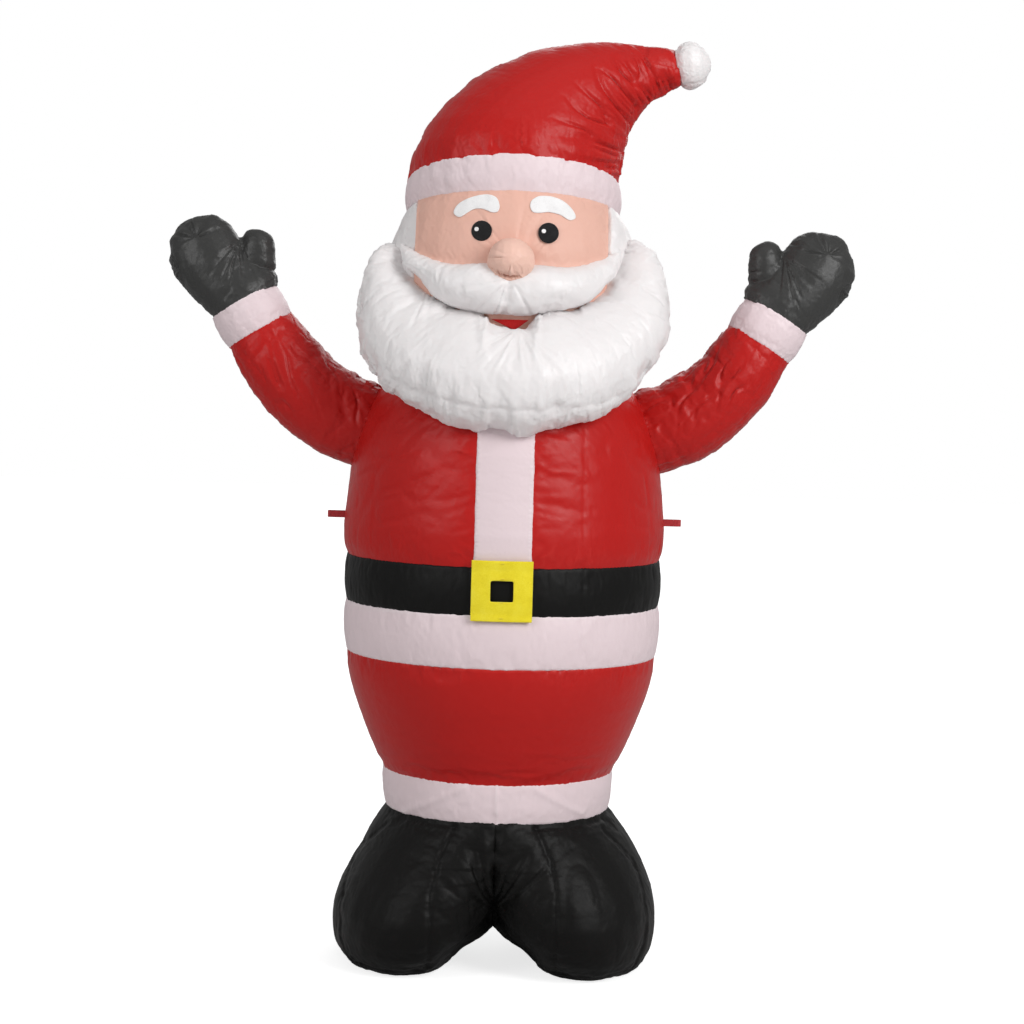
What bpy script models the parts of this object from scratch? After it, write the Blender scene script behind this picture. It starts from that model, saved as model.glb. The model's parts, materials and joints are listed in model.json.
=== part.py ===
# Inflatable santa, about 1.2 m tall: sewn nylon panels held in shape by air.
# Metres, +Z up. The figure faces -Y, and left and right are its own: left is +X.
# Each sewn panel or stuffed part is one closed solid, as the air-filled form it holds.
import math

import bmesh
import bpy
from mathutils import Vector

# Driving dimensions: heights of the sewn bands, from the floor up
boot_height = 0.200
trouser_band_width = 0.0495
skirt_length = 0.154
hem_width = 0.0655
belt_width = 0.0585
coat_length = 0.2525
head_height = 0.193         # at the side of the head
hat_band_width = 0.0355     # at the side of the head
hat_height = 0.1585         # from the hat band to the middle of the drooping tip
hat_reach = 0.2085          # from the figure's axis to the tip

# Driving dimensions: body radii at the seams and where the panels are fullest
trouser_radius = 0.1455
skirt_radius = 0.150
hem_radius = 0.2015
belt_radius = 0.2035
coat_radius = 0.208
neck_radius = 0.120
head_radius = 0.1635
band_radius = 0.1375
band_bulge = 0.002          # how far a narrow band swells between its seams

# Driving dimensions: arms, cuffs and mittens
arm_radius = 0.0565         # at the shoulder seam
wrist_radius = 0.046
cuff_length = 0.0427
mitten_length = 0.129
thumb_radius = 0.021

# Driving dimensions: boots
boot_width = 0.218
boot_depth = 0.328
boot_stance = 0.1015        # from the figure's axis to the middle of each boot

# Driving dimensions: trim
placket_width = 0.0665
placket_depth = 0.008
buckle_width = 0.0757
buckle_height = 0.0752
buckle_thickness = 0.003
buckle_hole_width = 0.028
buckle_hole_height = 0.0255
tape_width = 0.009
tape_thickness = 0.0012
loop_reach = 0.024
loop_slot = 0.006
loop_rise = 0.049           # from the belt to the loops
face_width = 0.240
felt_thickness = 0.0018
eye_radius = 0.013
eye_spacing = 0.084
eye_rise = 0.039            # from the nose to the eyes
nose_radius = 0.0285
pompom_radius = 0.0315
pompom_length = 0.045

gap = 0.0003                # between two pieces that touch
body_sides = 36
head_sides = 32
limb_sides = 16

shoulder_slope = math.radians(19)
wrist_slope = math.radians(59)

# Heights of the seams
trouser_seam = boot_height
skirt_seam = trouser_seam + trouser_band_width
hem_seam = skirt_seam + skirt_length
belt_bottom = hem_seam + hem_width
belt_top = belt_bottom + belt_width
neck_seam = belt_top + coat_length
band_seam = neck_seam + head_height
hat_seam = band_seam + hat_band_width


# Collections, materials and plain helpers

def clear_scene():
    for item in list(bpy.data.objects):
        bpy.data.objects.remove(item, do_unlink=True)


def new_collection(name):
    collection = bpy.data.collections.new(name)
    bpy.context.scene.collection.children.link(collection)
    return collection


def new_material(name, colour, roughness, metallic=0.0):
    material = bpy.data.materials.new(name)
    material.use_nodes = True
    shader = material.node_tree.nodes["Principled BSDF"]
    shader.inputs["Base Color"].default_value = (*colour, 1.0)
    shader.inputs["Roughness"].default_value = roughness
    shader.inputs["Metallic"].default_value = metallic
    return material


clear_scene()
parts = new_collection("inflatable_santa")
cutters = new_collection("cutters")
anchor = bpy.data.objects.new("figure_anchor", None)
parts.objects.link(anchor)

red_nylon = (0.62, 0.06, 0.05)
white_nylon = (0.88, 0.82, 0.84)
black_nylon = (0.035, 0.035, 0.038)
hair_white = (0.90, 0.89, 0.90)
skin_nylon = (0.88, 0.58, 0.46)


def add_piece(name, mesh, colour, roughness=0.45):
    item = bpy.data.objects.new(name, mesh)
    item.parent = anchor
    mesh.materials.append(new_material(name + "_nylon", colour, roughness))
    parts.objects.link(item)
    return item


def add_cutter(name, mesh):
    item = bpy.data.objects.new(name, mesh)
    item.parent = anchor
    item.hide_render = True
    item.display_type = "WIRE"
    cutters.objects.link(item)
    return item


def boolean(item, operation, cutter):
    step = item.modifiers.new(operation.lower() + "_" + cutter.name, "BOOLEAN")
    step.operation = operation
    step.object = cutter
    step.solver = "EXACT"


def finish_mesh(name, grid):
    bmesh.ops.recalc_face_normals(grid, faces=grid.faces)
    mesh = bpy.data.meshes.new(name)
    grid.to_mesh(mesh)
    grid.free()
    mesh.shade_smooth()
    mesh.set_sharp_from_angle(angle=math.radians(40))
    return mesh


# Smooth tables: rows of (position, value, value...) read between the rows by a cubic

def read_table(rows, position):
    last = len(rows) - 1
    place = 0
    while place < last - 1 and position > rows[place + 1][0]:
        place += 1
    before, start, end, after = (rows[max(0, min(last, place + step))] for step in (-1, 0, 1, 2))
    width = end[0] - start[0]
    share = min(1.0, max(0.0, (position - start[0]) / width))
    values = []
    for column in range(1, len(start)):
        slope_in = (end[column] - before[column]) / (end[0] - before[0]) * width
        slope_out = (after[column] - start[column]) / (after[0] - start[0]) * width
        squared = share * share
        cubed = squared * share
        values.append((2 * cubed - 3 * squared + 1) * start[column]
                      + (cubed - 2 * squared + share) * slope_in
                      + (3 * squared - 2 * cubed) * end[column]
                      + (cubed - squared) * slope_out)
    return values


def spread(first, last, count):
    return [first + (last - first) * step / count for step in range(count + 1)]


# The body's outline: radius by height, from the boots to the neck

body_table = [
    (trouser_seam, trouser_radius),
    (skirt_seam, skirt_radius),
    (skirt_seam + skirt_length * 0.195, skirt_radius + 0.0145),
    (skirt_seam + skirt_length * 0.47, skirt_radius + 0.0315),
    (skirt_seam + skirt_length * 0.73, hem_radius - 0.0065),
    (hem_seam, hem_radius),
    (belt_bottom, belt_radius),
    (belt_top, belt_radius),
    (belt_top + coat_length * 0.121, coat_radius),
    (belt_top + coat_length * 0.287, coat_radius - 0.003),
    (belt_top + coat_length * 0.418, coat_radius - 0.006),
    (belt_top + coat_length * 0.537, coat_radius - 0.009),
    (belt_top + coat_length * 0.644, coat_radius - 0.015),
    (belt_top + coat_length * 0.754, coat_radius - 0.026),
    (belt_top + coat_length * 0.857, coat_radius - 0.043),
    (belt_top + coat_length * 0.941, neck_radius + 0.021),
    (neck_seam, neck_radius),
]


def body_radius(height):
    return read_table(body_table, height)[0]


def bulged_radius(height, bottom, top):
    share = (height - bottom) / (top - bottom)
    return body_radius(height) + band_bulge * 4 * share * (1 - share)


def add_screw(item, sides=body_sides):
    screw = item.modifiers.new("turn", "SCREW")
    screw.angle = 2 * math.pi
    screw.steps = sides
    screw.render_steps = sides
    screw.use_merge_vertices = True
    screw.merge_threshold = 0.00005
    screw.use_smooth_shade = True


def outline_mesh(name, outline, closed):
    mesh = bpy.data.meshes.new(name)
    edges = [(step, step + 1) for step in range(len(outline) - 1)]
    if closed:
        edges.append((len(outline) - 1, 0))
    mesh.from_pydata([(radius, 0, height) for radius, height in outline], edges, [])
    return mesh


def band_outline(bottom, top, rows, bulged, grow=0.0):
    heights = spread(top - gap / 2, bottom + gap / 2, rows)
    if bulged:
        return [(bulged_radius(height, bottom, top) + grow, height) for height in heights]
    return [(body_radius(height) + grow, height) for height in heights]


def turned_band(name, bottom, top, rows, colour, bulged=False):
    outer = band_outline(bottom, top, rows, bulged)
    outline = [(0, outer[0][1])] + outer + [(0, outer[-1][1])]
    item = add_piece(name, outline_mesh(name, outline, False), colour)
    add_screw(item)
    return item


def turned_ring_outline(rows, inner_offset, outer_offset):
    outer = [(radius + outer_offset, height) for radius, height in rows]
    inner = [(radius + inner_offset, height) for radius, height in reversed(rows)]
    return outer + inner


# Lofts through oval rings, for arms, hat, head, beard and boots

def oval(centre, across, front, back, sides):
    ring = []
    for step in range(sides):
        angle = 2 * math.pi * step / sides
        depth = front if math.sin(angle) >= 0 else back
        ring.append(centre + across * math.cos(angle) + depth * math.sin(angle))
    return ring


def loft_grid(rings):
    grid = bmesh.new()
    rows = [[grid.verts.new(point) for point in ring] for ring in rings]
    sides = len(rings[0])
    for lower, upper in zip(rows, rows[1:]):
        for step in range(sides):
            following = (step + 1) % sides
            grid.faces.new((lower[step], lower[following], upper[following], upper[step]))
    grid.faces.new(rows[0])
    grid.faces.new(rows[-1])
    return grid


def loft_mesh(name, rings):
    return finish_mesh(name, loft_grid(rings))


def block_mesh(name, low, high):
    grid = bmesh.new()
    bmesh.ops.create_cube(grid, size=1.0)
    size = high - low
    for corner in grid.verts:
        corner.co = low + Vector(((corner.co.x + 0.5) * size.x,
                                  (corner.co.y + 0.5) * size.y,
                                  (corner.co.z + 0.5) * size.z))
    return finish_mesh(name, grid)


def prism_mesh(name, outline, front, back):
    grid = bmesh.new()
    face = grid.faces.new([grid.verts.new((x, front, z)) for x, z in outline])
    pushed = bmesh.ops.extrude_face_region(grid, geom=[face])
    moved = [item for item in pushed["geom"] if isinstance(item, bmesh.types.BMVert)]
    bmesh.ops.translate(grid, verts=moved, vec=(0, back - front, 0))
    return finish_mesh(name, grid)


# Boots: a rounded bulb on each side, flat where the two press together

def make_boot(name, side):
    table = [
        # share of the height, centre across, half width, half depth, toe forward
        (0.00, 1.148, 0.351, 0.366, 0.036),
        (0.06, 1.098, 0.415, 0.424, 0.048),
        (0.15, 1.054, 0.468, 0.468, 0.058),
        (0.29, 1.000, 0.500, 0.500, 0.064),
        (0.46, 0.887, 0.530, 0.500, 0.058),
        (0.635, 0.680, 0.553, 0.482, 0.040),
        (0.84, 0.325, 0.615, 0.460, 0.014),
        (1.00, 0.000, trouser_radius / boot_width, trouser_radius / boot_depth, 0.000),
    ]
    rings = []
    for share in (0.0, 0.05, 0.13, 0.24, 0.37, 0.51, 0.66, 0.83, 1.0):
        centre, half_width, half_depth, toe = read_table(table, share)
        depth = Vector((0, boot_depth * half_depth, 0))
        height = (boot_height - gap / 2) * share
        middle = Vector((side * boot_stance * centre, -boot_depth * toe, height))
        width = Vector((boot_width * half_width, 0, 0))
        rings.append(oval(middle, width, depth, depth, 26))
    grid = loft_grid(rings)
    everything = list(grid.verts) + list(grid.edges) + list(grid.faces)
    bmesh.ops.bisect_plane(grid, geom=everything, dist=0.00002,
                           plane_co=(side * gap / 2, 0, 0), plane_no=(side, 0, 0),
                           clear_inner=True)
    open_edges = [edge for edge in grid.edges if edge.is_boundary]
    bmesh.ops.holes_fill(grid, edges=open_edges)
    return add_piece(name, finish_mesh(name, grid), black_nylon, 0.4)


for side_name, side_sign in (("left", 1), ("right", -1)):
    make_boot("boot_" + side_name, side_sign)


# Trunk: bands of nylon sewn edge to edge, turned round the figure's axis

turned_band("trouser_band", trouser_seam, skirt_seam, 3, white_nylon, bulged=True)
turned_band("coat_skirt", skirt_seam, hem_seam, 8, red_nylon)
turned_band("hem_band", hem_seam, belt_bottom, 3, white_nylon, bulged=True)
turned_band("belt", belt_bottom, belt_top, 3, black_nylon, bulged=True)
coat_rows = 13
coat = turned_band("coat", belt_top, neck_seam, coat_rows, red_nylon)


# Placket: the white strip down the front of the coat, flush with it

placket_rows = 10           # rows of the coat that the placket covers, from the belt up
placket_heights = spread(neck_seam - gap / 2, belt_top + gap / 2, coat_rows)[-placket_rows - 1:]
placket_top = placket_heights[0]


def placket_block(name, clearance):
    half = placket_width / 2 + clearance
    low = Vector((-half, -coat_radius - 0.05, belt_top + gap / 2 - clearance))
    high = Vector((half, -0.05, placket_top + clearance))
    return add_cutter(name, block_mesh(name, low, high))


def make_placket():
    rows = [(body_radius(height), height) for height in placket_heights]
    outline = turned_ring_outline(rows, -placket_depth, 0.0)
    placket = add_piece("placket", outline_mesh("placket", outline, True), white_nylon)
    add_screw(placket)
    boolean(placket, "INTERSECT", placket_block("placket_block", 0.0))
    above = (rows[0][0], placket_top + gap)
    below = (rows[-1][0], belt_top - placket_depth)
    recess_outline = turned_ring_outline([above] + rows + [below], -placket_depth - gap, placket_depth)
    recess = add_cutter("placket_recess", outline_mesh("placket_recess", recess_outline, True))
    add_screw(recess)
    boolean(recess, "INTERSECT", placket_block("placket_recess_block", gap))
    boolean(coat, "DIFFERENCE", recess)


make_placket()


# Arms: curved tubes that leave the coat on a slanting flat seam

shoulder_x = coat_radius - 0.025
shoulder_z = belt_top + coat_length * 0.652
arm_table = [
    # share of the way, centre across, centre height, radius
    (0.00, shoulder_x, shoulder_z, arm_radius),
    (0.22, shoulder_x + 0.040, shoulder_z + 0.016, arm_radius + 0.0010),
    (0.45, shoulder_x + 0.0805, shoulder_z + 0.043, arm_radius - 0.0010),
    (0.66, shoulder_x + 0.1105, shoulder_z + 0.074, arm_radius - 0.0035),
    (0.82, shoulder_x + 0.1275, shoulder_z + 0.097, arm_radius - 0.0060),
    (1.00, shoulder_x + 0.1423, shoulder_z + 0.121, wrist_radius),
]


def along(slope, side):
    return Vector((side * math.cos(slope), 0, math.sin(slope)))


def across(slope, side):
    return Vector((side * math.sin(slope), 0, -math.cos(slope)))


def arm_point(share, side):
    centre_x, centre_z, radius = read_table(arm_table, share)
    return Vector((side * centre_x, 0, centre_z)), radius


def round_ring(centre, slope, side, half_width, half_depth, sides=limb_sides):
    depth = Vector((0, half_depth, 0))
    return oval(centre, across(slope, side) * half_width, depth, depth, sides)


def shoulder_cutter(name, side):
    centre, radius = arm_point(0.0, side)
    outward = along(shoulder_slope, side)
    half = radius * 2.4
    rings = []
    for reach in (0.0, 0.12):
        middle = centre + outward * reach
        span = across(shoulder_slope, side) * half
        depth = Vector((0, half, 0))
        rings.append([middle - span - depth, middle + span - depth,
                      middle + span + depth, middle - span + depth])
    return add_cutter(name, loft_mesh(name, rings))


def make_arm(name, side):
    rings = []
    for share in spread(0.0, 1.0, 9):
        centre, radius = arm_point(share, side)
        slope = shoulder_slope + (wrist_slope - shoulder_slope) * share
        if share == 0.0:
            centre = centre + along(slope, side) * gap
        rings.append(round_ring(centre, slope, side, radius, radius))
    return add_piece(name, loft_mesh(name, rings), red_nylon)


def make_cuff(name, side):
    wrist, radius = arm_point(1.0, side)
    rings = []
    for share in spread(0.0, 1.0, 3):
        reach = gap + (cuff_length - gap) * share
        swell = radius + band_bulge * 4 * share * (1 - share)
        rings.append(round_ring(wrist + along(wrist_slope, side) * reach, wrist_slope, side,
                                swell, swell))
    return add_piece(name, loft_mesh(name, rings), white_nylon)


def make_mitten(name, side):
    wrist, radius = arm_point(1.0, side)
    base = wrist + along(wrist_slope, side) * (cuff_length + gap)
    palm_table = [
        # share of the length, offset outwards, half width, half thickness, as shares of it
        (0.00, 0.000, 0.357, 0.357),
        (0.10, 0.020, 0.378, 0.345),
        (0.30, 0.070, 0.398, 0.315),
        (0.55, 0.107, 0.398, 0.290),
        (0.75, 0.090, 0.358, 0.250),
        (0.89, 0.088, 0.262, 0.185),
        (0.97, 0.086, 0.135, 0.100),
        (1.00, 0.085, 0.030, 0.025),
    ]
    rings = []
    for share, offset, half_width, half_depth in palm_table:
        middle = (base + along(wrist_slope, side) * mitten_length * share
                  + across(wrist_slope, side) * mitten_length * offset)
        width = radius if share == 0 else mitten_length * half_width
        depth = radius if share == 0 else mitten_length * half_depth
        rings.append(round_ring(middle, wrist_slope, side, width, depth))
    mitten = add_piece(name, loft_mesh(name, rings), black_nylon, 0.4)
    thumb_root = (base + along(wrist_slope, side) * mitten_length * 0.20
                  - across(wrist_slope, side) * mitten_length * 0.14)
    thumb_tip = (base + along(wrist_slope, side) * mitten_length * 0.53
                 - across(wrist_slope, side) * mitten_length * 0.515)
    direction = (thumb_tip - thumb_root).normalized()
    sideways = direction.cross(Vector((0, 1, 0)))
    reach = (thumb_tip - thumb_root).length
    thumb_rings = []
    for share, swell in ((0.0, 0.9), (0.35, 1.05), (0.70, 1.0), (0.88, 0.82), (0.97, 0.50), (1.0, 0.12)):
        centre = thumb_root + direction * reach * share
        size = thumb_radius * swell
        depth = Vector((0, size * 1.1, 0))
        thumb_rings.append(oval(centre, sideways * size, depth, depth, 12))
    thumb = add_cutter(name + "_thumb", loft_mesh(name + "_thumb", thumb_rings))
    boolean(mitten, "UNION", thumb)
    return mitten


for side_name, side_sign in (("left", 1), ("right", -1)):
    boolean(coat, "DIFFERENCE", shoulder_cutter("shoulder_cut_" + side_name, side_sign))
    make_arm("arm_" + side_name, side_sign)
    make_cuff("cuff_" + side_name, side_sign)
    make_mitten("mitten_" + side_name, side_sign)


# Buckle: a flat felt frame over the belt, and the folded tape loops at the sides

def make_buckle():
    middle = (belt_bottom + belt_top) / 2 + 0.0015
    top = middle + buckle_height / 2
    bottom = middle - buckle_height / 2
    inner = max(body_radius(height) for height in spread(bottom, top, 12)) + band_bulge + gap
    outer = inner + buckle_thickness
    outline = [(outer, top), (outer, bottom), (inner, bottom), (inner, top)]
    buckle = add_piece("buckle", outline_mesh("buckle", outline, True), (0.86, 0.78, 0.05), 0.9)
    add_screw(buckle, 96)
    half = buckle_width / 2
    frame_low = Vector((-half, -outer - 0.02, bottom - 0.01))
    frame_high = Vector((half, 0, top + 0.01))
    boolean(buckle, "INTERSECT", add_cutter("buckle_frame", block_mesh("buckle_frame", frame_low, frame_high)))
    hole_low = Vector((-buckle_hole_width / 2, -outer - 0.02, middle - buckle_hole_height / 2))
    hole_high = Vector((buckle_hole_width / 2, -inner + 0.02, middle + buckle_hole_height / 2))
    boolean(buckle, "DIFFERENCE", add_cutter("buckle_hole", block_mesh("buckle_hole", hole_low, hole_high)))


def make_tether_loop(name, side):
    loop_height = belt_top + loop_rise
    root = body_radius(loop_height) + gap
    inner = loop_slot / 2
    outer = inner + tape_thickness
    bend = root + loop_reach - outer
    turn = spread(-math.pi / 2, math.pi / 2, 6)
    outline = [(root, -outer)] + [(bend + outer * math.cos(a), outer * math.sin(a)) for a in turn]
    outline += [(root, outer), (root, inner)]
    outline += [(bend + inner * math.cos(a), inner * math.sin(a)) for a in reversed(turn)]
    outline += [(root, -inner)]
    bottom = loop_height - tape_width / 2
    rings = [[Vector((side * x, y, bottom + rise)) for x, y in outline] for rise in (0, tape_width)]
    add_piece(name, loft_mesh(name, rings), red_nylon, 0.7)


make_buckle()
for side_name, side_sign in (("left", 1), ("right", -1)):
    make_tether_loop("tether_loop_" + side_name, side_sign)


# Head and hat: rings that tip back more and more towards the hat

head_table = [
    # height at the side, radius, slope of the ring from front to back
    (neck_seam, neck_radius - 0.002, 0.0),
    (neck_seam + 0.022, neck_radius + 0.0200, 0.0),
    (neck_seam + 0.050, neck_radius + 0.0345, 0.0),
    (neck_seam + 0.080, head_radius - 0.0020, 0.02),
    (band_seam - 0.083, head_radius, 0.06),
    (band_seam - 0.053, head_radius - 0.0030, 0.10),
    (band_seam - 0.023, band_radius + 0.0125, 0.13),
    (band_seam, band_radius, 0.15),
]
hat_slope = 0.21


def tipped_ring(height, radius, slope, centre_x=0.0, width=None, lean=0.0):
    half_width = radius if width is None else width
    sideways = Vector((math.cos(lean), 0, -math.sin(lean))) * half_width
    depth = Vector((0, radius, -radius * slope))
    return oval(Vector((centre_x, 0, height)), sideways, depth, depth, head_sides)


def head_rings(grow=0.0):
    rings = []
    for height in spread(neck_seam, band_seam, 10):
        radius, slope = read_table(head_table, height)
        lift = gap if height == neck_seam else 0.0
        rings.append(tipped_ring(height + lift, radius + grow, slope))
    return rings


def head_front(x, height):
    radius = read_table(head_table, height)[0]
    return -math.sqrt(max(radius * radius - x * x, 0.0))


def make_face(head):
    face_bottom = neck_seam + 0.030
    face_back = -0.055
    for name, clearance in (("face_block", 0.0), ("face_recess", gap)):
        low = Vector((-face_width / 2 - clearance, -0.3, face_bottom - clearance))
        high = Vector((face_width / 2 + clearance, face_back + clearance, band_seam + 0.05))
        add_cutter(name, block_mesh(name, low, high))
    face = add_piece("face", loft_mesh("face", head_rings()), skin_nylon)
    boolean(face, "INTERSECT", cutters.objects["face_block"])
    boolean(head, "DIFFERENCE", cutters.objects["face_recess"])


def make_hat_band():
    rings = []
    for share in spread(0.0, 1.0, 3):
        height = band_seam + (hat_seam - band_seam) * share
        slope = 0.15 + (hat_slope - 0.15) * share
        radius = band_radius + band_bulge * 4 * share * (1 - share)
        lift = gap if share == 0.0 else 0.0
        rings.append(tipped_ring(height + lift, radius, slope))
    return add_piece("hat_band", loft_mesh("hat_band", rings), white_nylon)


hat_table = [
    # share of the way, shares of reach, height and radius (width, depth), lean, slope
    (0.000, 0.000, 0.000, 1.000, 1.000, 0.00, hat_slope),
    (0.125, 0.024, 0.246, 0.971, 0.953, 0.06, 0.17),
    (0.250, 0.101, 0.451, 0.895, 0.858, 0.18, 0.12),
    (0.375, 0.211, 0.625, 0.782, 0.749, 0.32, 0.08),
    (0.500, 0.345, 0.767, 0.655, 0.636, 0.47, 0.05),
    (0.625, 0.492, 0.861, 0.527, 0.524, 0.65, 0.03),
    (0.750, 0.645, 0.927, 0.396, 0.393, 0.84, 0.01),
    (0.875, 0.806, 0.968, 0.273, 0.269, 1.07, 0.00),
    (1.000, 1.000, 1.000, 0.167, 0.167, 1.46, 0.00),
]


def hat_ring(share, lift=0.0):
    across, rise, width, depth, lean, slope = read_table(hat_table, share)
    height = hat_seam + hat_height * rise + lift
    return tipped_ring(height, band_radius * depth, slope, hat_reach * across,
                       band_radius * width, lean)


def make_hat():
    rings = [hat_ring(0.0, gap)] + [hat_ring(share) for share in spread(0.0, 1.0, 11)[1:]]
    return add_piece("hat", loft_mesh("hat", rings), red_nylon)


def make_pompom():
    lean = hat_table[-1][5]
    outward = Vector((math.sin(lean), 0, math.cos(lean)))
    upward = Vector((math.cos(lean), 0, -math.sin(lean)))
    tip = Vector((hat_reach, 0, hat_seam + hat_height)) + outward * gap
    rings = []
    for share, swell in ((0.0, 0.62), (0.16, 0.90), (0.40, 1.0), (0.65, 0.90), (0.85, 0.62), (0.96, 0.32), (1.0, 0.06)):
        size = pompom_radius * swell
        side_depth = Vector((0, size, 0))
        rings.append(oval(tip + outward * pompom_length * share, upward * size, side_depth, side_depth, 16))
    return add_piece("pompom", loft_mesh("pompom", rings), hair_white)


head = add_piece("head", loft_mesh("head", head_rings()), hair_white)
make_face(head)
make_hat_band()
make_hat()
make_pompom()


# Brows, eyes and mouth: thin shapes of cloth that lie on the face

nose_height = band_seam - 0.069

def lie_on_face(item):
    boolean(item, "INTERSECT", cutters.objects["face_skin_outer"])
    boolean(item, "DIFFERENCE", cutters.objects["face_skin_inner"])


def make_brow(name, side):
    stations = [
        # across, height above the nose, half height of the brow
        (0.0220, 0.0695, 0.0050),
        (0.0270, 0.0715, 0.0078),
        (0.0380, 0.0735, 0.0082),
        (0.0500, 0.0705, 0.0072),
        (0.0620, 0.0645, 0.0055),
        (0.0720, 0.0580, 0.0038),
        (0.0765, 0.0545, 0.0018),
    ]
    upper = [(side * x, nose_height + z + half) for x, z, half in stations]
    lower = [(side * x, nose_height + z - half) for x, z, half in reversed(stations)]
    brow = add_piece(name, prism_mesh(name, upper + lower, -0.25, -0.10), (0.92, 0.92, 0.93), 0.9)
    lie_on_face(brow)


def make_eye(name, side):
    outline = []
    for angle in spread(0, 2 * math.pi, 20)[:-1]:
        outline.append((side * eye_spacing / 2 + eye_radius * math.cos(angle),
                        nose_height + eye_rise + eye_radius * math.sin(angle)))
    eye = add_piece(name, prism_mesh(name, outline, -0.25, -0.10), (0.01, 0.01, 0.01), 0.5)
    lie_on_face(eye)


mouth_corners = [(-0.023, -0.0712), (0.024, -0.0712), (0.014, -0.0790), (0.007, -0.0835),
                 (0.001, -0.0822), (-0.011, -0.0765)]
mouth_outline = [(x, nose_height + drop) for x, drop in mouth_corners]


def make_mouth():
    mouth = add_piece("mouth", prism_mesh("mouth", mouth_outline, -0.25, -0.10), (0.60, 0.02, 0.02), 0.5)
    lie_on_face(mouth)


add_cutter("face_skin_outer", loft_mesh("face_skin_outer", head_rings(gap + felt_thickness)))
add_cutter("face_skin_inner", loft_mesh("face_skin_inner", head_rings(gap)))
for side_name, side_sign in (("left", 1), ("right", -1)):
    make_brow("brow_" + side_name, side_sign)
    make_eye("eye_" + side_name, side_sign)
make_mouth()


# Nose, moustache and beard: stuffed and air-filled shapes seated on the face and chest

def ball_mesh(name, centre, radii):
    grid = bmesh.new()
    bmesh.ops.create_uvsphere(grid, u_segments=16, v_segments=9, radius=1.0)
    for corner in grid.verts:
        corner.co = centre + Vector((corner.co.x * radii[0], corner.co.y * radii[1], corner.co.z * radii[2]))
    return finish_mesh(name, grid)


def nose_mesh(name, grow):
    centre = Vector((0, head_front(0, nose_height) - nose_radius * 0.55, nose_height))
    size = nose_radius + grow
    return ball_mesh(name, centre, (size, size, size * 0.98))


def moustache_rings(grow=0.0):
    table = [
        # across, height from the nose, half height, thickness, lean of the section
        (0.0000, -0.0360, 0.0330, 0.0300, 0.00),
        (0.0400, -0.0335, 0.0310, 0.0340, 0.05),
        (0.0690, -0.0310, 0.0265, 0.0320, -0.10),
        (0.0980, -0.0220, 0.0235, 0.0280, -0.35),
        (0.1190, -0.0060, 0.0185, 0.0220, -0.80),
        (0.1300, 0.0080, 0.0130, 0.0150, -1.00),
        (0.1370, 0.0220, 0.0040, 0.0050, -1.05),
    ]
    rings = []
    for step in spread(-0.137, 0.137, 18):
        side = 1 if step >= 0 else -1
        rise, half, thickness, lean = read_table(table, abs(step))
        height = nose_height + rise
        centre = Vector((step, head_front(step, height) - 0.002, height))
        upward = Vector((side * math.sin(lean), 0, math.cos(lean))) * (half + grow)
        outward = Vector((step, centre.y * 1.6, 0)).normalized()
        rings.append(oval(centre, upward, outward * (thickness + grow), outward * 0.02, 14))
    return rings


beard_centre = nose_height - 0.020
beard_table = [
    # degrees from straight down, outer reach, inner reach, front depth, outer y, inner y
    (0, 0.1900, 0.0640, 0.0600, -0.202, -0.160),
    (22, 0.1965, 0.0620, 0.0620, -0.192, -0.158),
    (45, 0.2065, 0.0600, 0.0640, -0.152, -0.152),
    (60, 0.2090, 0.0760, 0.0620, -0.117, -0.138),
    (75, 0.2020, 0.1020, 0.0560, -0.087, -0.120),
    (90, 0.1870, 0.1300, 0.0440, -0.062, -0.094),
    (102, 0.1720, 0.1450, 0.0290, -0.044, -0.062),
    (111, 0.1610, 0.1540, 0.0090, -0.034, -0.040),
]


def beard_rings():
    rings = []
    for angle in spread(-111, 111, 22):
        outer, inner, thickness, outer_y, inner_y = read_table(beard_table, abs(angle))
        turn = math.radians(angle)
        ray = Vector((math.sin(turn), 0, -math.cos(turn)))
        start = Vector((0, inner_y, beard_centre)) + ray * inner
        end = Vector((0, outer_y, beard_centre)) + ray * outer
        reach = (end - start) / 2
        forward = Vector((0, -1, 0))
        forward = (forward - reach * (forward.dot(reach) / reach.length_squared)).normalized()
        rings.append(oval((start + end) / 2, reach, forward * thickness, forward * thickness * 0.6, 14))
    return rings


def make_features():
    nose = add_piece("nose", nose_mesh("nose", 0.0), skin_nylon)
    moustache = add_piece("moustache", loft_mesh("moustache", moustache_rings()), hair_white)
    beard = add_piece("beard", loft_mesh("beard", beard_rings()), hair_white)
    face_skin = cutters.objects["face_skin_inner"]
    nose_room = add_cutter("nose_room", nose_mesh("nose_room", gap))
    moustache_room = add_cutter("moustache_room", loft_mesh("moustache_room", moustache_rings(0.0008)))
    mouth_room = add_cutter("mouth_room", prism_mesh("mouth_room", mouth_outline, -0.30, -0.10))
    chest = band_outline(belt_top, neck_seam, coat_rows, False, gap)
    chest_outline = [(0, neck_seam + gap), (chest[0][0], neck_seam + gap)] + chest + [(0, belt_top)]
    chest_room = add_cutter("chest_room", outline_mesh("chest_room", chest_outline, False))
    add_screw(chest_room)
    for piece in (nose, moustache, beard):
        boolean(piece, "DIFFERENCE", face_skin)
    boolean(moustache, "DIFFERENCE", nose_room)
    boolean(moustache, "DIFFERENCE", mouth_room)
    boolean(beard, "DIFFERENCE", moustache_room)
    boolean(beard, "DIFFERENCE", mouth_room)
    boolean(beard, "DIFFERENCE", chest_room)


make_features()


# Place: the floor under the soles, and the middle of the figure's depth on the Y axis

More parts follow.
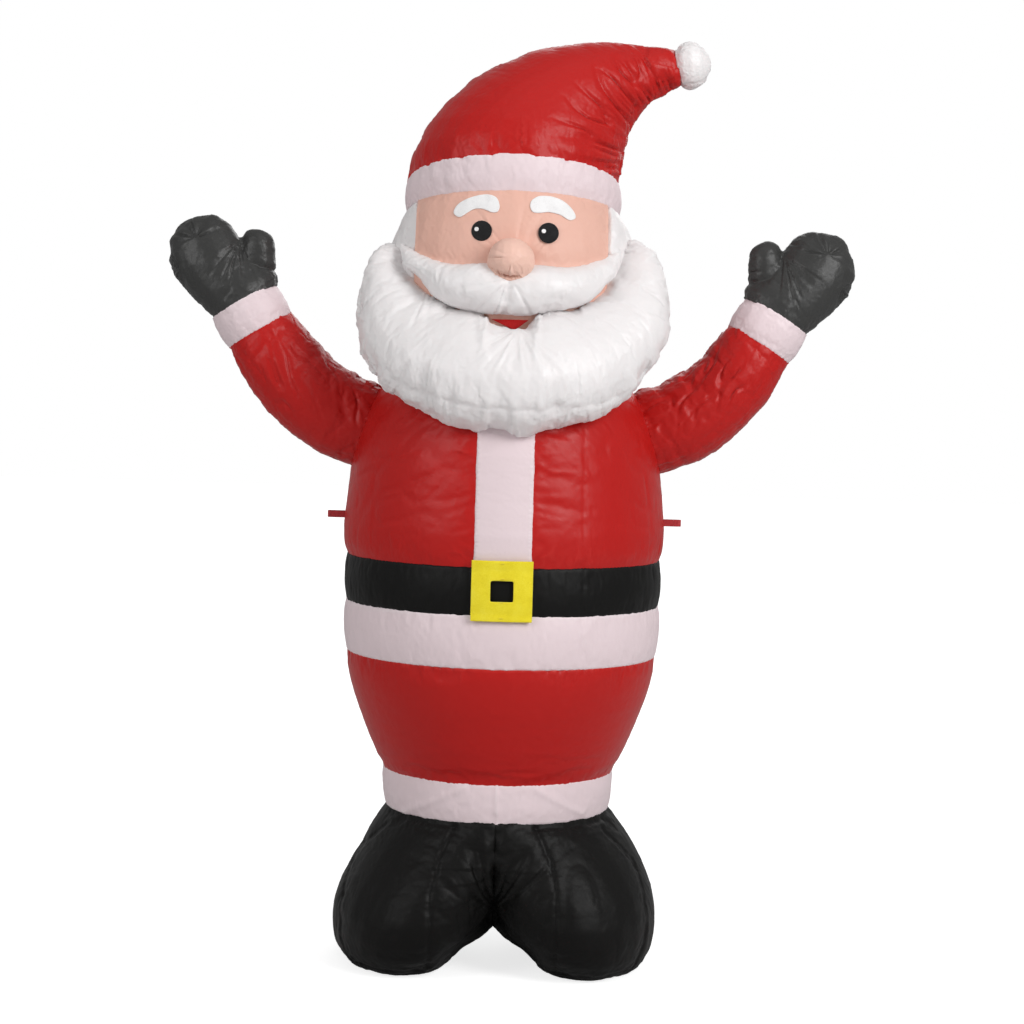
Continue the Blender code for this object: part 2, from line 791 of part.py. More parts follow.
def centre_depth():
    bpy.context.view_layer.update()
    graph = bpy.context.evaluated_depsgraph_get()
    depths = []
    for item in parts.objects:
        if item.type == "MESH":
            shown = item.evaluated_get(graph)
            depths += [(shown.matrix_world @ corner.co).y for corner in shown.data.vertices]
    anchor.location.y = -(min(depths) + max(depths)) / 2


centre_depth()
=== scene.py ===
# Looks of the inflatable santa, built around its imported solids.
# Each soft panel starts as a copy of its solid. It is remeshed, blown up between its seams by a cloth
# simulation, and then gets the puckers that sewn nylon taffeta shows beside every seam.

import json
import math

import bmesh
import bpy
import numpy as np
from mathutils import Matrix, Vector
from mathutils.bvhtree import BVHTree
from mathutils.kdtree import KDTree

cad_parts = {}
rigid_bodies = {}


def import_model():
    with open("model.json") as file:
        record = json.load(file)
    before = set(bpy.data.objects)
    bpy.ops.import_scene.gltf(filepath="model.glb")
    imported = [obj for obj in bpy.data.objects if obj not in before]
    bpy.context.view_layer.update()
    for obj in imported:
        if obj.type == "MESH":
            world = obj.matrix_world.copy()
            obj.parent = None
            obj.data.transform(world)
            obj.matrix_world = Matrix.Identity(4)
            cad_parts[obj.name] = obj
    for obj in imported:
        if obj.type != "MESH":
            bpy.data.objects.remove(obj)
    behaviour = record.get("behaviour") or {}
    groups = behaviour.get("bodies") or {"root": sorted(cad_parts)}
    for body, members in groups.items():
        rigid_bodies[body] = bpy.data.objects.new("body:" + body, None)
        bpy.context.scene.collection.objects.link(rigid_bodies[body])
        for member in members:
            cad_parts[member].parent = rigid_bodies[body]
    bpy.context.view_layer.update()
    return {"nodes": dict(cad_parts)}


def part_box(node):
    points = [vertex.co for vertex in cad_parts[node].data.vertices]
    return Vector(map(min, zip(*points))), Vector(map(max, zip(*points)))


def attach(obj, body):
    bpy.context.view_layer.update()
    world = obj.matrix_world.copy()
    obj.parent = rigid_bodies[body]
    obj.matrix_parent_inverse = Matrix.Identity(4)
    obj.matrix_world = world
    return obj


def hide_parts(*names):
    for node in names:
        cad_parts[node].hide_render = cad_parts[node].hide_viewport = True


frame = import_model()
nodes = frame["nodes"]
bpy.ops.object.select_all(action="DESELECT")
scene = bpy.context.scene
print("frame loaded:", len(nodes), "solids")

beltLow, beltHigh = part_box("belt")
axisY = (beltLow.y + beltHigh.y) / 2        # the figure's upright axis is at x = 0, y = axisY


# Camera, light and floor

cameraPlan = {
    "across": 0.00976,
    "distance": 3.0754,       # from the figure's axis
    "height": 0.7692,
    "pitch": 3.427,           # degrees, looking down
    "roll": 1.6,              # degrees, so that the figure leans to the right
    "lens": 82.66,
}


def placeCamera(plan):
    data = bpy.data.cameras.new("studioCamera")
    data.sensor_width = 36
    data.lens = plan["lens"]
    data.clip_start = 0.05
    data.clip_end = 100
    camera = bpy.data.objects.new("studioCamera", data)
    scene.collection.objects.link(camera)
    pitch = math.radians(plan["pitch"])
    right = Vector((1, 0, 0))
    up = Vector((0, math.sin(pitch), math.cos(pitch)))
    turn = Matrix((right, up, right.cross(up))).transposed()
    turn = turn @ Matrix.Rotation(math.radians(plan["roll"]), 3, "Z")
    place = Vector((plan["across"], axisY - plan["distance"], plan["height"]))
    camera.matrix_world = Matrix.Translation(place) @ turn.to_4x4()
    scene.camera = camera


lightPlan = [
    # name, place, aim, size across and up, watts
    ("softboxLeft", (-2.3, -2.2, 1.8), (0, 0, 0.80), 1.3, 1.7, 27),
    ("softboxRight", (2.0, -2.2, 2.0), (0, 0, 0.80), 1.3, 1.7, 62),
    ("softboxTop", (0.2, -0.7, 2.9), (0, 0, 0.9), 1.8, 1.4, 4),
    ("softboxBack", (0.6, 2.6, 2.0), (0, 0, 0.7), 1.8, 1.8, 17),
]
fillStrength = 0.37           # of the white surroundings


def placeLights():
    for name, place, aim, width, height, power in lightPlan:
        data = bpy.data.lights.new(name, "AREA")
        data.shape = "RECTANGLE"
        data.size = width
        data.size_y = height
        data.energy = power
        lamp = bpy.data.objects.new(name, data)
        scene.collection.objects.link(lamp)
        lamp.location = place
        lamp.rotation_mode = "QUATERNION"
        lamp.rotation_quaternion = (Vector(aim) - Vector(place)).to_track_quat("-Z", "Y")
    world = bpy.data.worlds.new("studioWorld")
    scene.world = world
    world.use_nodes = True
    tree = world.node_tree
    tree.nodes.clear()
    output = tree.nodes.new("ShaderNodeOutputWorld")
    seen = tree.nodes.new("ShaderNodeBackground")
    seen.inputs["Color"].default_value = (1, 1, 1, 1)
    seen.inputs["Strength"].default_value = 1.0
    fill = tree.nodes.new("ShaderNodeBackground")
    fill.inputs["Color"].default_value = (1, 1, 1, 1)
    fill.inputs["Strength"].default_value = fillStrength
    ray = tree.nodes.new("ShaderNodeLightPath")
    mix = tree.nodes.new("ShaderNodeMixShader")
    tree.links.new(ray.outputs["Is Camera Ray"], mix.inputs["Fac"])
    tree.links.new(fill.outputs["Background"], mix.inputs[1])
    tree.links.new(seen.outputs["Background"], mix.inputs[2])
    tree.links.new(mix.outputs["Shader"], output.inputs["Surface"])
    scene.view_settings.view_transform = "Standard"


floorPlan = {
    "size": 24,
    "colour": (0.58, 0.58, 0.58),
    "glowNear": 0.76,         # the floor's white glow, seen by the camera alone
    "glow": 1.0,
    "near": 0.6,              # distances over which the glow grows
    "far": 3.2,
}


def placeFloor(plan):
    bpy.ops.mesh.primitive_plane_add(size=plan["size"], location=(0, 0, -0.0005))
    floor = bpy.context.object
    floor.name = "studioFloor"
    material, tree, shader = newMaterial("paleFloor")
    shader.inputs["Base Color"].default_value = (*plan["colour"], 1)
    shader.inputs["Roughness"].default_value = 0.9
    shader.inputs["Specular IOR Level"].default_value = 0.1
    place = addNode(tree, "ShaderNodeTexCoord").outputs["Object"]
    away = tree.nodes.new("ShaderNodeVectorMath")
    away.operation = "LENGTH"
    tree.links.new(place, away.inputs[0])
    glow = addNode(tree, "ShaderNodeMapRange",
                   {"From Min": plan["near"], "From Max": plan["far"],
                    "To Min": plan["glowNear"], "To Max": plan["glow"]},
                   {"Value": away.outputs["Value"]})
    seen = tree.nodes.new("ShaderNodeLightPath").outputs["Is Camera Ray"]
    tree.links.new(mathNode(tree, "MULTIPLY", glow.outputs["Result"], seen),
                   shader.inputs["Emission Strength"])
    shader.inputs["Emission Color"].default_value = (1, 1, 1, 1)
    floor.data.materials.append(material)


# Materials

def newMaterial(name):
    material = bpy.data.materials.new(name)
    material.use_nodes = True
    tree = material.node_tree
    tree.nodes.clear()
    output = tree.nodes.new("ShaderNodeOutputMaterial")
    shader = tree.nodes.new("ShaderNodeBsdfPrincipled")
    tree.links.new(shader.outputs["BSDF"], output.inputs["Surface"])
    return material, tree, shader


def addNode(tree, kind, values=None, links=None):
    node = tree.nodes.new(kind)
    for socket, value in (values or {}).items():
        node.inputs[socket].default_value = value
    for socket, source in (links or {}).items():
        tree.links.new(source, node.inputs[socket])
    return node


def mathNode(tree, operation, first, second):
    node = tree.nodes.new("ShaderNodeMath")
    node.operation = operation
    for place, value in enumerate((first, second)):
        if isinstance(value, (int, float)):
            node.inputs[place].default_value = value
        else:
            tree.links.new(value, node.inputs[place])
    return node.outputs[0]


def colourRamp(tree, factor, stops):
    ramp = tree.nodes.new("ShaderNodeValToRGB")
    ramp.color_ramp.elements.remove(ramp.color_ramp.elements[1])
    for count, (position, colour) in enumerate(stops):
        stop = ramp.color_ramp.elements[0] if count == 0 else ramp.color_ramp.elements.new(position)
        stop.position = position
        stop.color = (*colour, 1)
    tree.links.new(factor, ramp.inputs["Fac"])
    return ramp.outputs["Color"]


def addBump(tree, height, strength, distance, below=None):
    bump = addNode(tree, "ShaderNodeBump", {"Strength": strength, "Distance": distance},
                   {"Height": height})
    if below is not None:
        tree.links.new(below, bump.inputs["Normal"])
    return bump.outputs["Normal"]


taffetaPlans = {
    # finish: painted crease shade colour, main colour, painted ridge highlight colour, roughness, specular,
    # crinkle strength
    "redTaffeta": ((0.20, 0.0035, 0.0028), (0.47, 0.0095, 0.0078), (0.60, 0.036, 0.029), 0.36, 0.23, 0.18),
    # whiteTaffeta: its pink tint is painted light, the red glow shining through the white cloth from inside
    "whiteTaffeta": ((0.54, 0.40, 0.425), (0.79, 0.655, 0.68), (0.86, 0.76, 0.78), 0.46, 0.26, 0.12),
    "hairTaffeta": ((0.56, 0.52, 0.53), (0.83, 0.80, 0.80), (0.88, 0.86, 0.86), 0.36, 0.40, 0.26),
    "blackTaffeta": ((0.0012, 0.0011, 0.0010), (0.0036, 0.0034, 0.0031), (0.008, 0.0078, 0.0072),
                     0.46, 0.16, 0.10),
    "mittenTaffeta": ((0.010, 0.010, 0.010), (0.036, 0.036, 0.035), (0.062, 0.062, 0.060),
                      0.36, 0.32, 0.16),
    "skinTaffeta": ((0.48, 0.22, 0.16), (0.78, 0.46, 0.37), (0.86, 0.57, 0.48), 0.44, 0.26, 0.12),
    "noseTaffeta": ((0.42, 0.13, 0.07), (0.84, 0.54, 0.445), (0.90, 0.66, 0.57), 0.42, 0.30, 0.14),
}

softPlans = {"hairTaffeta": 0.12, "skinTaffeta": 0.10, "noseTaffeta": 0.12}    # light spread in thin cloth


def taffeta(name):
    deep, main, paintedHighlightColour, roughness, specular, crinkle = taffetaPlans[name]
    material, tree, shader = newMaterial(name)
    place = addNode(tree, "ShaderNodeTexCoord").outputs["Object"]
    clouds = addNode(tree, "ShaderNodeTexNoise", {"Scale": 6.0, "Detail": 4.0, "Roughness": 0.6},
                     {"Vector": place}).outputs["Fac"]
    # upright streaks: in the base colour they are painted sheen, in the roughness they give real sheen
    upright = addNode(tree, "ShaderNodeMapping", {"Scale": (1.0, 1.0, 0.14)}, {"Vector": place})
    sheenStreaks = addNode(tree, "ShaderNodeTexNoise", {"Scale": 70.0, "Detail": 4.0, "Distortion": 0.6},
                      {"Vector": upright.outputs["Vector"]}).outputs["Fac"]
    # the fold attribute paints light: creases get the darker colour as painted shade, ridges the lighter one
    # as painted highlight
    fold = addNode(tree, "ShaderNodeAttribute")
    fold.attribute_name = "fold"
    tone = mathNode(tree, "MULTIPLY_ADD", clouds, 0.42)
    tree.nodes[-1].inputs[2].default_value = 0.19
    tone = mathNode(tree, "ADD", tone, mathNode(tree, "MULTIPLY", sheenStreaks, 0.16))
    tone = mathNode(tree, "SUBTRACT", tone, mathNode(tree, "MULTIPLY", fold.outputs["Fac"], 0.34))
    colour = colourRamp(tree, tone, [(0.0, deep), (0.30, main), (0.55, main), (1.0, paintedHighlightColour)])
    tree.links.new(colour, shader.inputs["Base Color"])
    gloss = mathNode(tree, "ADD", mathNode(tree, "MULTIPLY", clouds, 0.14), roughness - 0.13)
    gloss = mathNode(tree, "ADD", mathNode(tree, "MULTIPLY", sheenStreaks, 0.14), gloss)
    tree.links.new(gloss, shader.inputs["Roughness"])
    shader.inputs["Specular IOR Level"].default_value = specular
    crease = addNode(tree, "ShaderNodeTexNoise",
                     {"Scale": 34.0, "Detail": 4.0, "Roughness": 0.55, "Distortion": 1.4},
                     {"Vector": place}).outputs["Fac"]
    if name in softPlans:
        shader.inputs["Subsurface Weight"].default_value = softPlans[name]
        shader.inputs["Subsurface Radius"].default_value = (1.0, 0.85, 0.85)
        shader.inputs["Subsurface Scale"].default_value = 0.006
    weave = []
    for direction in ("X", "Z"):
        wave = addNode(tree, "ShaderNodeTexWave", {"Scale": 420.0}, {"Vector": place})
        wave.bands_direction = direction
        weave.append(wave.outputs["Fac"])
    normal = addBump(tree, crease, crinkle, 0.0016)
    normal = addBump(tree, mathNode(tree, "MULTIPLY", weave[0], weave[1]), 0.25, 0.00012, normal)
    tree.links.new(normal, shader.inputs["Normal"])
    return material


def felt(name, deep, main, light):
    material, tree, shader = newMaterial(name)
    place = addNode(tree, "ShaderNodeTexCoord").outputs["Object"]
    fibres = addNode(tree, "ShaderNodeTexNoise",
                     {"Scale": 520.0, "Detail": 6.0, "Roughness": 0.7, "Distortion": 2.5},
                     {"Vector": place}).outputs["Fac"]
    patches = addNode(tree, "ShaderNodeTexNoise", {"Scale": 60.0, "Detail": 4.0},
                      {"Vector": place}).outputs["Fac"]
    tone = mathNode(tree, "ADD", mathNode(tree, "MULTIPLY", fibres, 0.7),
                    mathNode(tree, "MULTIPLY", patches, 0.3))
    tree.links.new(colourRamp(tree, tone, [(0.25, deep), (0.5, main), (0.75, light)]),
                   shader.inputs["Base Color"])
    shader.inputs["Roughness"].default_value = 0.93
    shader.inputs["Sheen Weight"].default_value = 0.35
    shader.inputs["Specular IOR Level"].default_value = 0.15
    tree.links.new(addBump(tree, fibres, 0.6, 0.0009), shader.inputs["Normal"])
    return material


def tapeWeave(name, deep, main):
    material, tree, shader = newMaterial(name)
    place = addNode(tree, "ShaderNodeTexCoord").outputs["Object"]
    ribs = addNode(tree, "ShaderNodeTexWave", {"Scale": 330.0}, {"Vector": place})
    ribs.bands_direction = "Z"
    clouds = addNode(tree, "ShaderNodeTexNoise", {"Scale": 300.0, "Detail": 4.0},
                     {"Vector": place}).outputs["Fac"]
    tone = mathNode(tree, "MULTIPLY", ribs.outputs["Fac"], clouds)
    tree.links.new(colourRamp(tree, tone, [(0.0, deep), (0.5, main)]), shader.inputs["Base Color"])
    shader.inputs["Roughness"].default_value = 0.62
    shader.inputs["Sheen Weight"].default_value = 0.15
    tree.links.new(addBump(tree, ribs.outputs["Fac"], 0.5, 0.0003), shader.inputs["Normal"])
    return material


feltPlans = {
    # finish: deep, main and light colour
    "yellowFelt": ((0.66, 0.50, 0.008), (0.87, 0.72, 0.022), (0.95, 0.84, 0.09)),
    "yellowThread": ((0.60, 0.45, 0.006), (0.78, 0.63, 0.018), (0.88, 0.75, 0.06)),
    "whiteFelt": ((0.72, 0.71, 0.71), (0.88, 0.87, 0.87), (0.96, 0.96, 0.96)),
    "eyeBlack": ((0.003, 0.003, 0.003), (0.008, 0.008, 0.009), (0.02, 0.02, 0.022)),
    "mouthRed": ((0.36, 0.006, 0.006), (0.60, 0.014, 0.013), (0.70, 0.03, 0.03)),
}
tapePlan = {"deep": (0.26, 0.008, 0.01), "main": (0.62, 0.022, 0.03)}

finishes = {name: taffeta(name) for name in taffetaPlans}
for name, colours in feltPlans.items():
    finishes[name] = felt(name, *colours)
finishes["redTape"] = tapeWeave("redTape", tapePlan["deep"], tapePlan["main"])
print("materials made:", len(finishes))


# Numbers read from and written to a mesh

def readPoints(mesh):
    values = np.empty(len(mesh.vertices) * 3, np.float32)
    mesh.vertices.foreach_get("co", values)
    return values.reshape(-1, 3).astype(float)


def writePoints(mesh, points):
    mesh.vertices.foreach_set("co", points.astype(np.float32).ravel())
    mesh.update()


def readEdges(mesh):
    values = np.empty(len(mesh.edges) * 2, np.int32)
    mesh.edges.foreach_get("vertices", values)
    return values.reshape(-1, 2)


def neighbourMean(values, edges):
    count = np.maximum(np.bincount(edges.ravel(), minlength=len(values)), 1)
    total = np.empty_like(values)
    for column in range(values.shape[1]):
        total[:, column] = (np.bincount(edges[:, 0], values[edges[:, 1], column], len(values))
                            + np.bincount(edges[:, 1], values[edges[:, 0], column], len(values)))
    return total / count[:, None]


def relax(values, edges, rounds, share=None, step=0.5):
    weight = step if share is None else step * share[:, None]
    for _ in range(rounds):
        values = values + (neighbourMean(values, edges) - values) * weight
    return values


def relaxKeepingSize(points, edges, rounds, share):
    for _ in range(rounds):
        points = relax(points, edges, 1, share, 0.50)
        points = relax(points, edges, 1, share, -0.52)
    return points


def surfaceNormals(mesh, points, hidden, whole=False):
    count = len(mesh.loops)
    corners = np.empty(count, np.int32)
    mesh.loops.foreach_get("vertex_index", corners)
    starts = np.empty(len(mesh.polygons), np.int32)
    mesh.polygons.foreach_get("loop_start", starts)
    totals = np.empty(len(mesh.polygons), np.int32)
    mesh.polygons.foreach_get("loop_total", totals)
    first = points[corners[starts]]
    third = points[corners[starts + 2]]
    second = points[corners[starts + 1]]
    last = points[corners[starts + totals - 1]]
    facing = np.cross(third - first, last - second)
    joined = np.maximum if whole else np.minimum
    buried = joined.reduceat(hidden[corners].astype(int), starts)
    facing = facing * np.where(buried, 0.0001, 1.0)[:, None]
    spread = np.repeat(facing, totals, axis=0)
    normals = np.empty_like(points)
    for column in range(3):
        normals[:, column] = np.bincount(corners, spread[:, column], len(points))
    normals = normals / np.maximum(np.linalg.norm(normals, axis=1), 1e-12)[:, None]
    if not whole:
        return normals
    touched = np.bincount(corners, np.repeat(1 - buried, totals), len(points)) > 0
    return normals, touched


latticeSize = 48
lattice = np.random.default_rng(20).random((latticeSize, latticeSize, latticeSize)) * 2 - 1


def softNoise(points, spacing, shift=0.0, creased=False):
    place = points / spacing + shift
    low = np.floor(place).astype(int)
    part = place - low
    if not creased:
        part = part * part * (3 - 2 * part)
    total = np.zeros(len(points))
    for dx in (0, 1):
        for dy in (0, 1):
            for dz in (0, 1):
                weight = (np.abs(1 - dx - part[:, 0]) * np.abs(1 - dy - part[:, 1])
                          * np.abs(1 - dz - part[:, 2]))
                total += weight * lattice[(low[:, 0] + dx) % latticeSize,
                                          (low[:, 1] + dy) % latticeSize,
                                          (low[:, 2] + dz) % latticeSize]
    return total


def smoothStep(values, low, high):
    share = np.clip((values - low) / (high - low), 0, 1)
    return share * share * (3 - 2 * share)


# A soft panel: copy, remesh, snap to the seams

flatTrims = {"brow_left", "brow_right", "eye_left", "eye_right", "mouth", "buckle",
             "tether_loop_left", "tether_loop_right"}

panelPlan = {
    "seamAngle": 38,          # degrees, an edge of a solid this sharp is a seam
    "seamStep": 0.0007,
    "touching": 0.0018,       # closer than this to a neighbour, a face is hidden
    "held": 0.62,             # voxels from a seam to the points that are drawn onto it
    "pull": 0.88,
    "bodySides": 36,          # sides of the solids' rings, which are made round
    "smooth": 12,             # rounds
    "lap": 0.45,              # voxels by which a hidden face goes into the neighbour
    "flat": 7,                # degrees, hidden faces flatter than this are joined
}


def solidMesh(node):
    grid = bmesh.new()
    grid.from_mesh(nodes[node].data)
    bmesh.ops.remove_doubles(grid, verts=grid.verts, dist=0.00001)
    return grid


def copySolid(node, name):
    grid = solidMesh(node)
    mesh = bpy.data.meshes.new(name)
    grid.to_mesh(mesh)
    grid.free()
    piece = bpy.data.objects.new(name, mesh)
    scene.collection.objects.link(piece)
    return piece


def applyModifier(piece, modifier):
    bpy.context.view_layer.objects.active = piece
    bpy.ops.object.modifier_apply(modifier=modifier.name)


def remeshPiece(piece, size):
    modifier = piece.modifiers.new("remesh", "REMESH")
    modifier.mode = "VOXEL"
    modifier.voxel_size = size
    modifier.use_smooth_shade = True
    applyModifier(piece, modifier)


def seamPoints(node):
    grid = solidMesh(node)
    found = []
    for edge in grid.edges:
        if len(edge.link_faces) == 2 and edge.calc_face_angle(0) > math.radians(panelPlan["seamAngle"]):
            first, last = (vert.co for vert in edge.verts)
            steps = max(1, int((last - first).length / panelPlan["seamStep"]))
            found += [first.lerp(last, step / steps) for step in range(steps + 1)]
    grid.free()
    return found


def makeTree(points):
    tree = KDTree(max(1, len(points)))
    for index, point in enumerate(points):
        tree.insert(point, index)
    tree.balance()
    return tree


def nearestOn(tree, points):
    spots = np.empty_like(points)
    reach = np.empty(len(points))
    for index, point in enumerate(points):
        spot, _, distance = tree.find(point)
        spots[index] = spot
        reach[index] = distance
    return spots, reach


def neighbourSurface(node):
    low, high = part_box(node)
    verts, faces = [], []
    for other, item in nodes.items():
        if other == node or other in flatTrims:
            continue
        otherLow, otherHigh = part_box(other)
        if any(otherLow[axis] > high[axis] + 0.003 or otherHigh[axis] < low[axis] - 0.003
               for axis in range(3)):
            continue
        start = len(verts)
        verts += [vert.co.copy() for vert in item.data.vertices]
        faces += [[start + corner for corner in face.vertices] for face in item.data.polygons]
    return BVHTree.FromPolygons(verts, faces) if faces else None


def roundPoints(points, sides):
    # moves the points of a many-sided ring outwards, onto its circle
    half = math.pi / sides
    x, y = points[:, 0], points[:, 1] - axisY
    angle = np.mod(np.arctan2(y, x), 2 * half) - half
    grow = np.cos(angle) / math.cos(half)
    points = points.copy()
    points[:, 0] = x * grow
    points[:, 1] = y * grow + axisY
    return points


def thinHidden(piece, hidden, held):
    # the flat caps between two panels get a few large faces
    grid = bmesh.new()
    grid.from_mesh(piece.data)
    kind = grid.verts.layers.int.new("kind")
    for vert, isHidden, isHeld in zip(grid.verts, hidden, held):
        vert[kind] = int(isHidden) + 2 * int(isHeld)
    deep = {vert for vert in grid.verts if vert[kind] == 1}
    for _ in range(2):        # two rings of points stay beside each seam
        deep = {vert for vert in deep if all(edge.other_vert(vert) in deep for edge in vert.link_edges)}
    verts = [vert for vert in grid.verts if vert in deep]      # in the mesh's order, the same each run
    edges = [edge for edge in grid.edges if edge.verts[0] in deep and edge.verts[1] in deep]
    bmesh.ops.dissolve_limit(grid, angle_limit=math.radians(panelPlan["flat"]), use_dissolve_boundaries=False,
                             verts=verts, edges=edges, delimit=set())
    kinds = np.array([vert[kind] for vert in grid.verts])
    grid.verts.layers.int.remove(kind)
    grid.to_mesh(piece.data)
    grid.free()
    return kinds % 2 == 1, kinds >= 2


def preparePanel(node, plan):
    piece = copySolid(node, plan["name"])
    remeshPiece(piece, plan["voxel"])
    points = readPoints(piece.data)
    around = neighbourSurface(node)
    hidden = np.zeros(len(points), bool)
    if around is not None:
        for index, point in enumerate(points):
            hidden[index] = around.find_nearest(point, panelPlan["touching"])[0] is not None
    seams = seamPoints(node)
    held = np.zeros(len(points), bool)
    if seams:
        spots, reach = nearestOn(makeTree(seams), points)
        held = reach < plan["voxel"] * panelPlan["held"]
        pull = panelPlan["pull"]       # under 1, so that two corners never meet in one point
        points[held] = spots[held] * pull + points[held] * (1 - pull)
    if plan.get("turned"):
        points = roundPoints(points, panelPlan["bodySides"])
    writePoints(piece.data, points)
    hidden, held = thinHidden(piece, hidden, held)
    points = readPoints(piece.data)
    edges = readEdges(piece.data)
    free = (~(hidden | held)).astype(float)
    points = relaxKeepingSize(points, edges, plan.get("smooth", panelPlan["smooth"]), free)
    inward, buried = surfaceNormals(piece.data, points, ~hidden, True)
    points[buried] += inward[buried] * plan["voxel"] * plan.get("lap", panelPlan["lap"])
    points = movePoints(points, plan.get("moves", ()))
    if "tuck" in plan:
        normals = surfaceNormals(piece.data, points, hidden)
        points = tuckUnder(points, normals, panels[plan["tuck"]["under"]]["start"], plan["tuck"])
    points[:, 2] = np.maximum(points[:, 2], 0.0)
    writePoints(piece.data, points)
    normals = surfaceNormals(piece.data, points, hidden)
    tied = hidden | held
    for seam in plan.get("seams", ()):
        if seam.get("tied"):
            tied |= seamMask(points, normals, hidden, edges, seam, plan["voxel"] * 0.6)
    return {"piece": piece, "plan": plan, "start": points, "edges": edges, "hidden": hidden, "tied": tied}


# Pressure: the fabric is cut a little larger than its seams and blown up between them

clothPlan = {
    "quality": 4,
    "mass": 0.0006,
    "tension_stiffness": 22,
    "compression_stiffness": 12,
    "shear_stiffness": 6,
    "bending_stiffness": 0.6,
    "air_damping": 1.0,
    "use_pressure": True,
    "uniform_pressure_force": 20.0,
    "vertex_group_mass": "sewn",
    "pin_stiffness": 1.0,
}
lastFrame = 17
firstSeed = 40
jitterSize = 0.00025

formPlan = {
    "foldSize": 0.028,        # movement over a wider stretch than this is broad
    "keep": 0.25,             # share of the broad movement that stays
    "gain": 0.6,              # share of the fine movement that stays
    "cap": 0.009,             # no point moves further
}


def addPressure(panel, seed):
    piece, plan = panel["piece"], panel["plan"]
    points = panel["start"].copy()
    still = panel["tied"]
    jitter = np.random.default_rng(seed).normal(0, jitterSize, points.shape)
    points[~still] += jitter[~still]
    writePoints(piece.data, points)
    group = piece.vertex_groups.new(name="sewn")
    group.add([int(index) for index in np.nonzero(still)[0]], 1.0, "REPLACE")
    modifier = piece.modifiers.new("pressure", "CLOTH")
    cloth = modifier.settings
    for setting, value in clothPlan.items():
        setattr(cloth, setting, value)
    cloth.effector_weights.gravity = 0
    cloth.shrink_min = -plan["grow"]
    modifier.collision_settings.use_collision = False
    modifier.point_cache.frame_start = 1
    modifier.point_cache.frame_end = lastFrame
    return modifier


def blowUp(panels):
    modifiers = [addPressure(panel, firstSeed + count) for count, panel in enumerate(panels)]
    scene.frame_start = 1
    scene.frame_end = lastFrame
    for step in range(1, lastFrame + 1):
        scene.frame_set(step)
    for panel, modifier in zip(panels, modifiers):
        applyModifier(panel["piece"], modifier)
        panel["piece"].vertex_groups.clear()
        keepForm(panel)
    scene.frame_set(1)


def keepForm(panel):
    plan, start, edges = panel["plan"], panel["start"], panel["edges"]
    points = readPoints(panel["piece"].data)
    still = panel["tied"]
    moved = points - start
    moved[still] = 0
    rounds = int((formPlan["foldSize"] / plan["voxel"]) ** 2)
    broad = relax(moved, edges, rounds, (~still).astype(float))
    fine = moved - broad
    moved = broad * formPlan["keep"] + fine * plan.get("gain", formPlan["gain"])
    length = np.linalg.norm(moved, axis=1)
    cap = formPlan["cap"]
    moved *= (cap * np.tanh(length / cap) / np.maximum(length, 1e-9))[:, None]
    print("  ", panel["piece"].name, len(points), "points, moved", round(float(length.max()) * 1000, 1), "mm",
          "at most, fine", round(float(np.percentile(np.linalg.norm(fine, axis=1), 95)) * 1000, 2))
    writePoints(panel["piece"].data, start + moved)


# Detail: one subdivision, then puckers beside the seams and long folds

def subdividePiece(piece):
    modifier = piece.modifiers.new("finer", "SUBSURF")
    modifier.levels = 1
    modifier.render_levels = 1
    modifier.use_limit_surface = False
    applyModifier(piece, modifier)


def pucker(points, spots, reach, seam):
    # gathers run across the seam, because all points that share a nearest spot share their noise;
    # fine ones stay close to it and broad ones reach further
    shift = seam.get("seed", 0) * 7.31
    wander = np.stack([softNoise(points, 0.05, shift + 3), softNoise(points, 0.05, shift + 11),
                       softNoise(points, 0.05, shift + 19)], 1)
    source = spots + wander * (reach * seam.get("wander", 0.30))[:, None]
    height = np.zeros(len(points))
    for size, share in ((0.55, 0.35), (1.0, 0.75), (2.0, 0.9)):
        spacing = seam["spacing"] * size
        length = seam["reach"] * (0.25 + 0.40 * size)
        length = length * (0.8 + 0.7 * softNoise(spots, spacing * 1.7, shift + 5))
        fade = np.exp(-(reach / np.maximum(length, 0.001)) ** 1.5)
        wave = softNoise(source, spacing, shift + 13 * size, creased=True)
        height += np.clip(wave * 1.8, -1, 0.8) * fade * share * seam["height"]
    if seam.get("rim"):
        height *= 1 - np.exp(-(reach / seam["rim"]) ** 2)
    groove = seam.get("groove", 0.0)
    return height - groove * np.exp(-(reach / seam.get("grooveWidth", 0.0025)) ** 2)


def longFolds(points, fold):
    shift = fold.get("seed", 0) * 5.17
    along = np.array(fold["along"], float)
    along = along / np.linalg.norm(along)
    across = points - np.outer(points @ along, along) * (1 - 1 / fold.get("stretch", 4.0))
    wave = softNoise(across, fold["spacing"], shift, creased=True)
    valley = 1 - np.clip(np.abs(wave) / 0.32, 0, 1)
    patch = smoothStep(softNoise(points, fold["spacing"] * 3.2, shift + 9), -0.15, 0.45)
    share = patch
    if "centre" in fold:
        away = np.linalg.norm(points - np.array(fold["centre"], float), axis=1)
        share = (0.35 + 0.65 * patch) * np.exp(-(away / fold["radius"]) ** 2)
    return -valley * share * fold["height"]


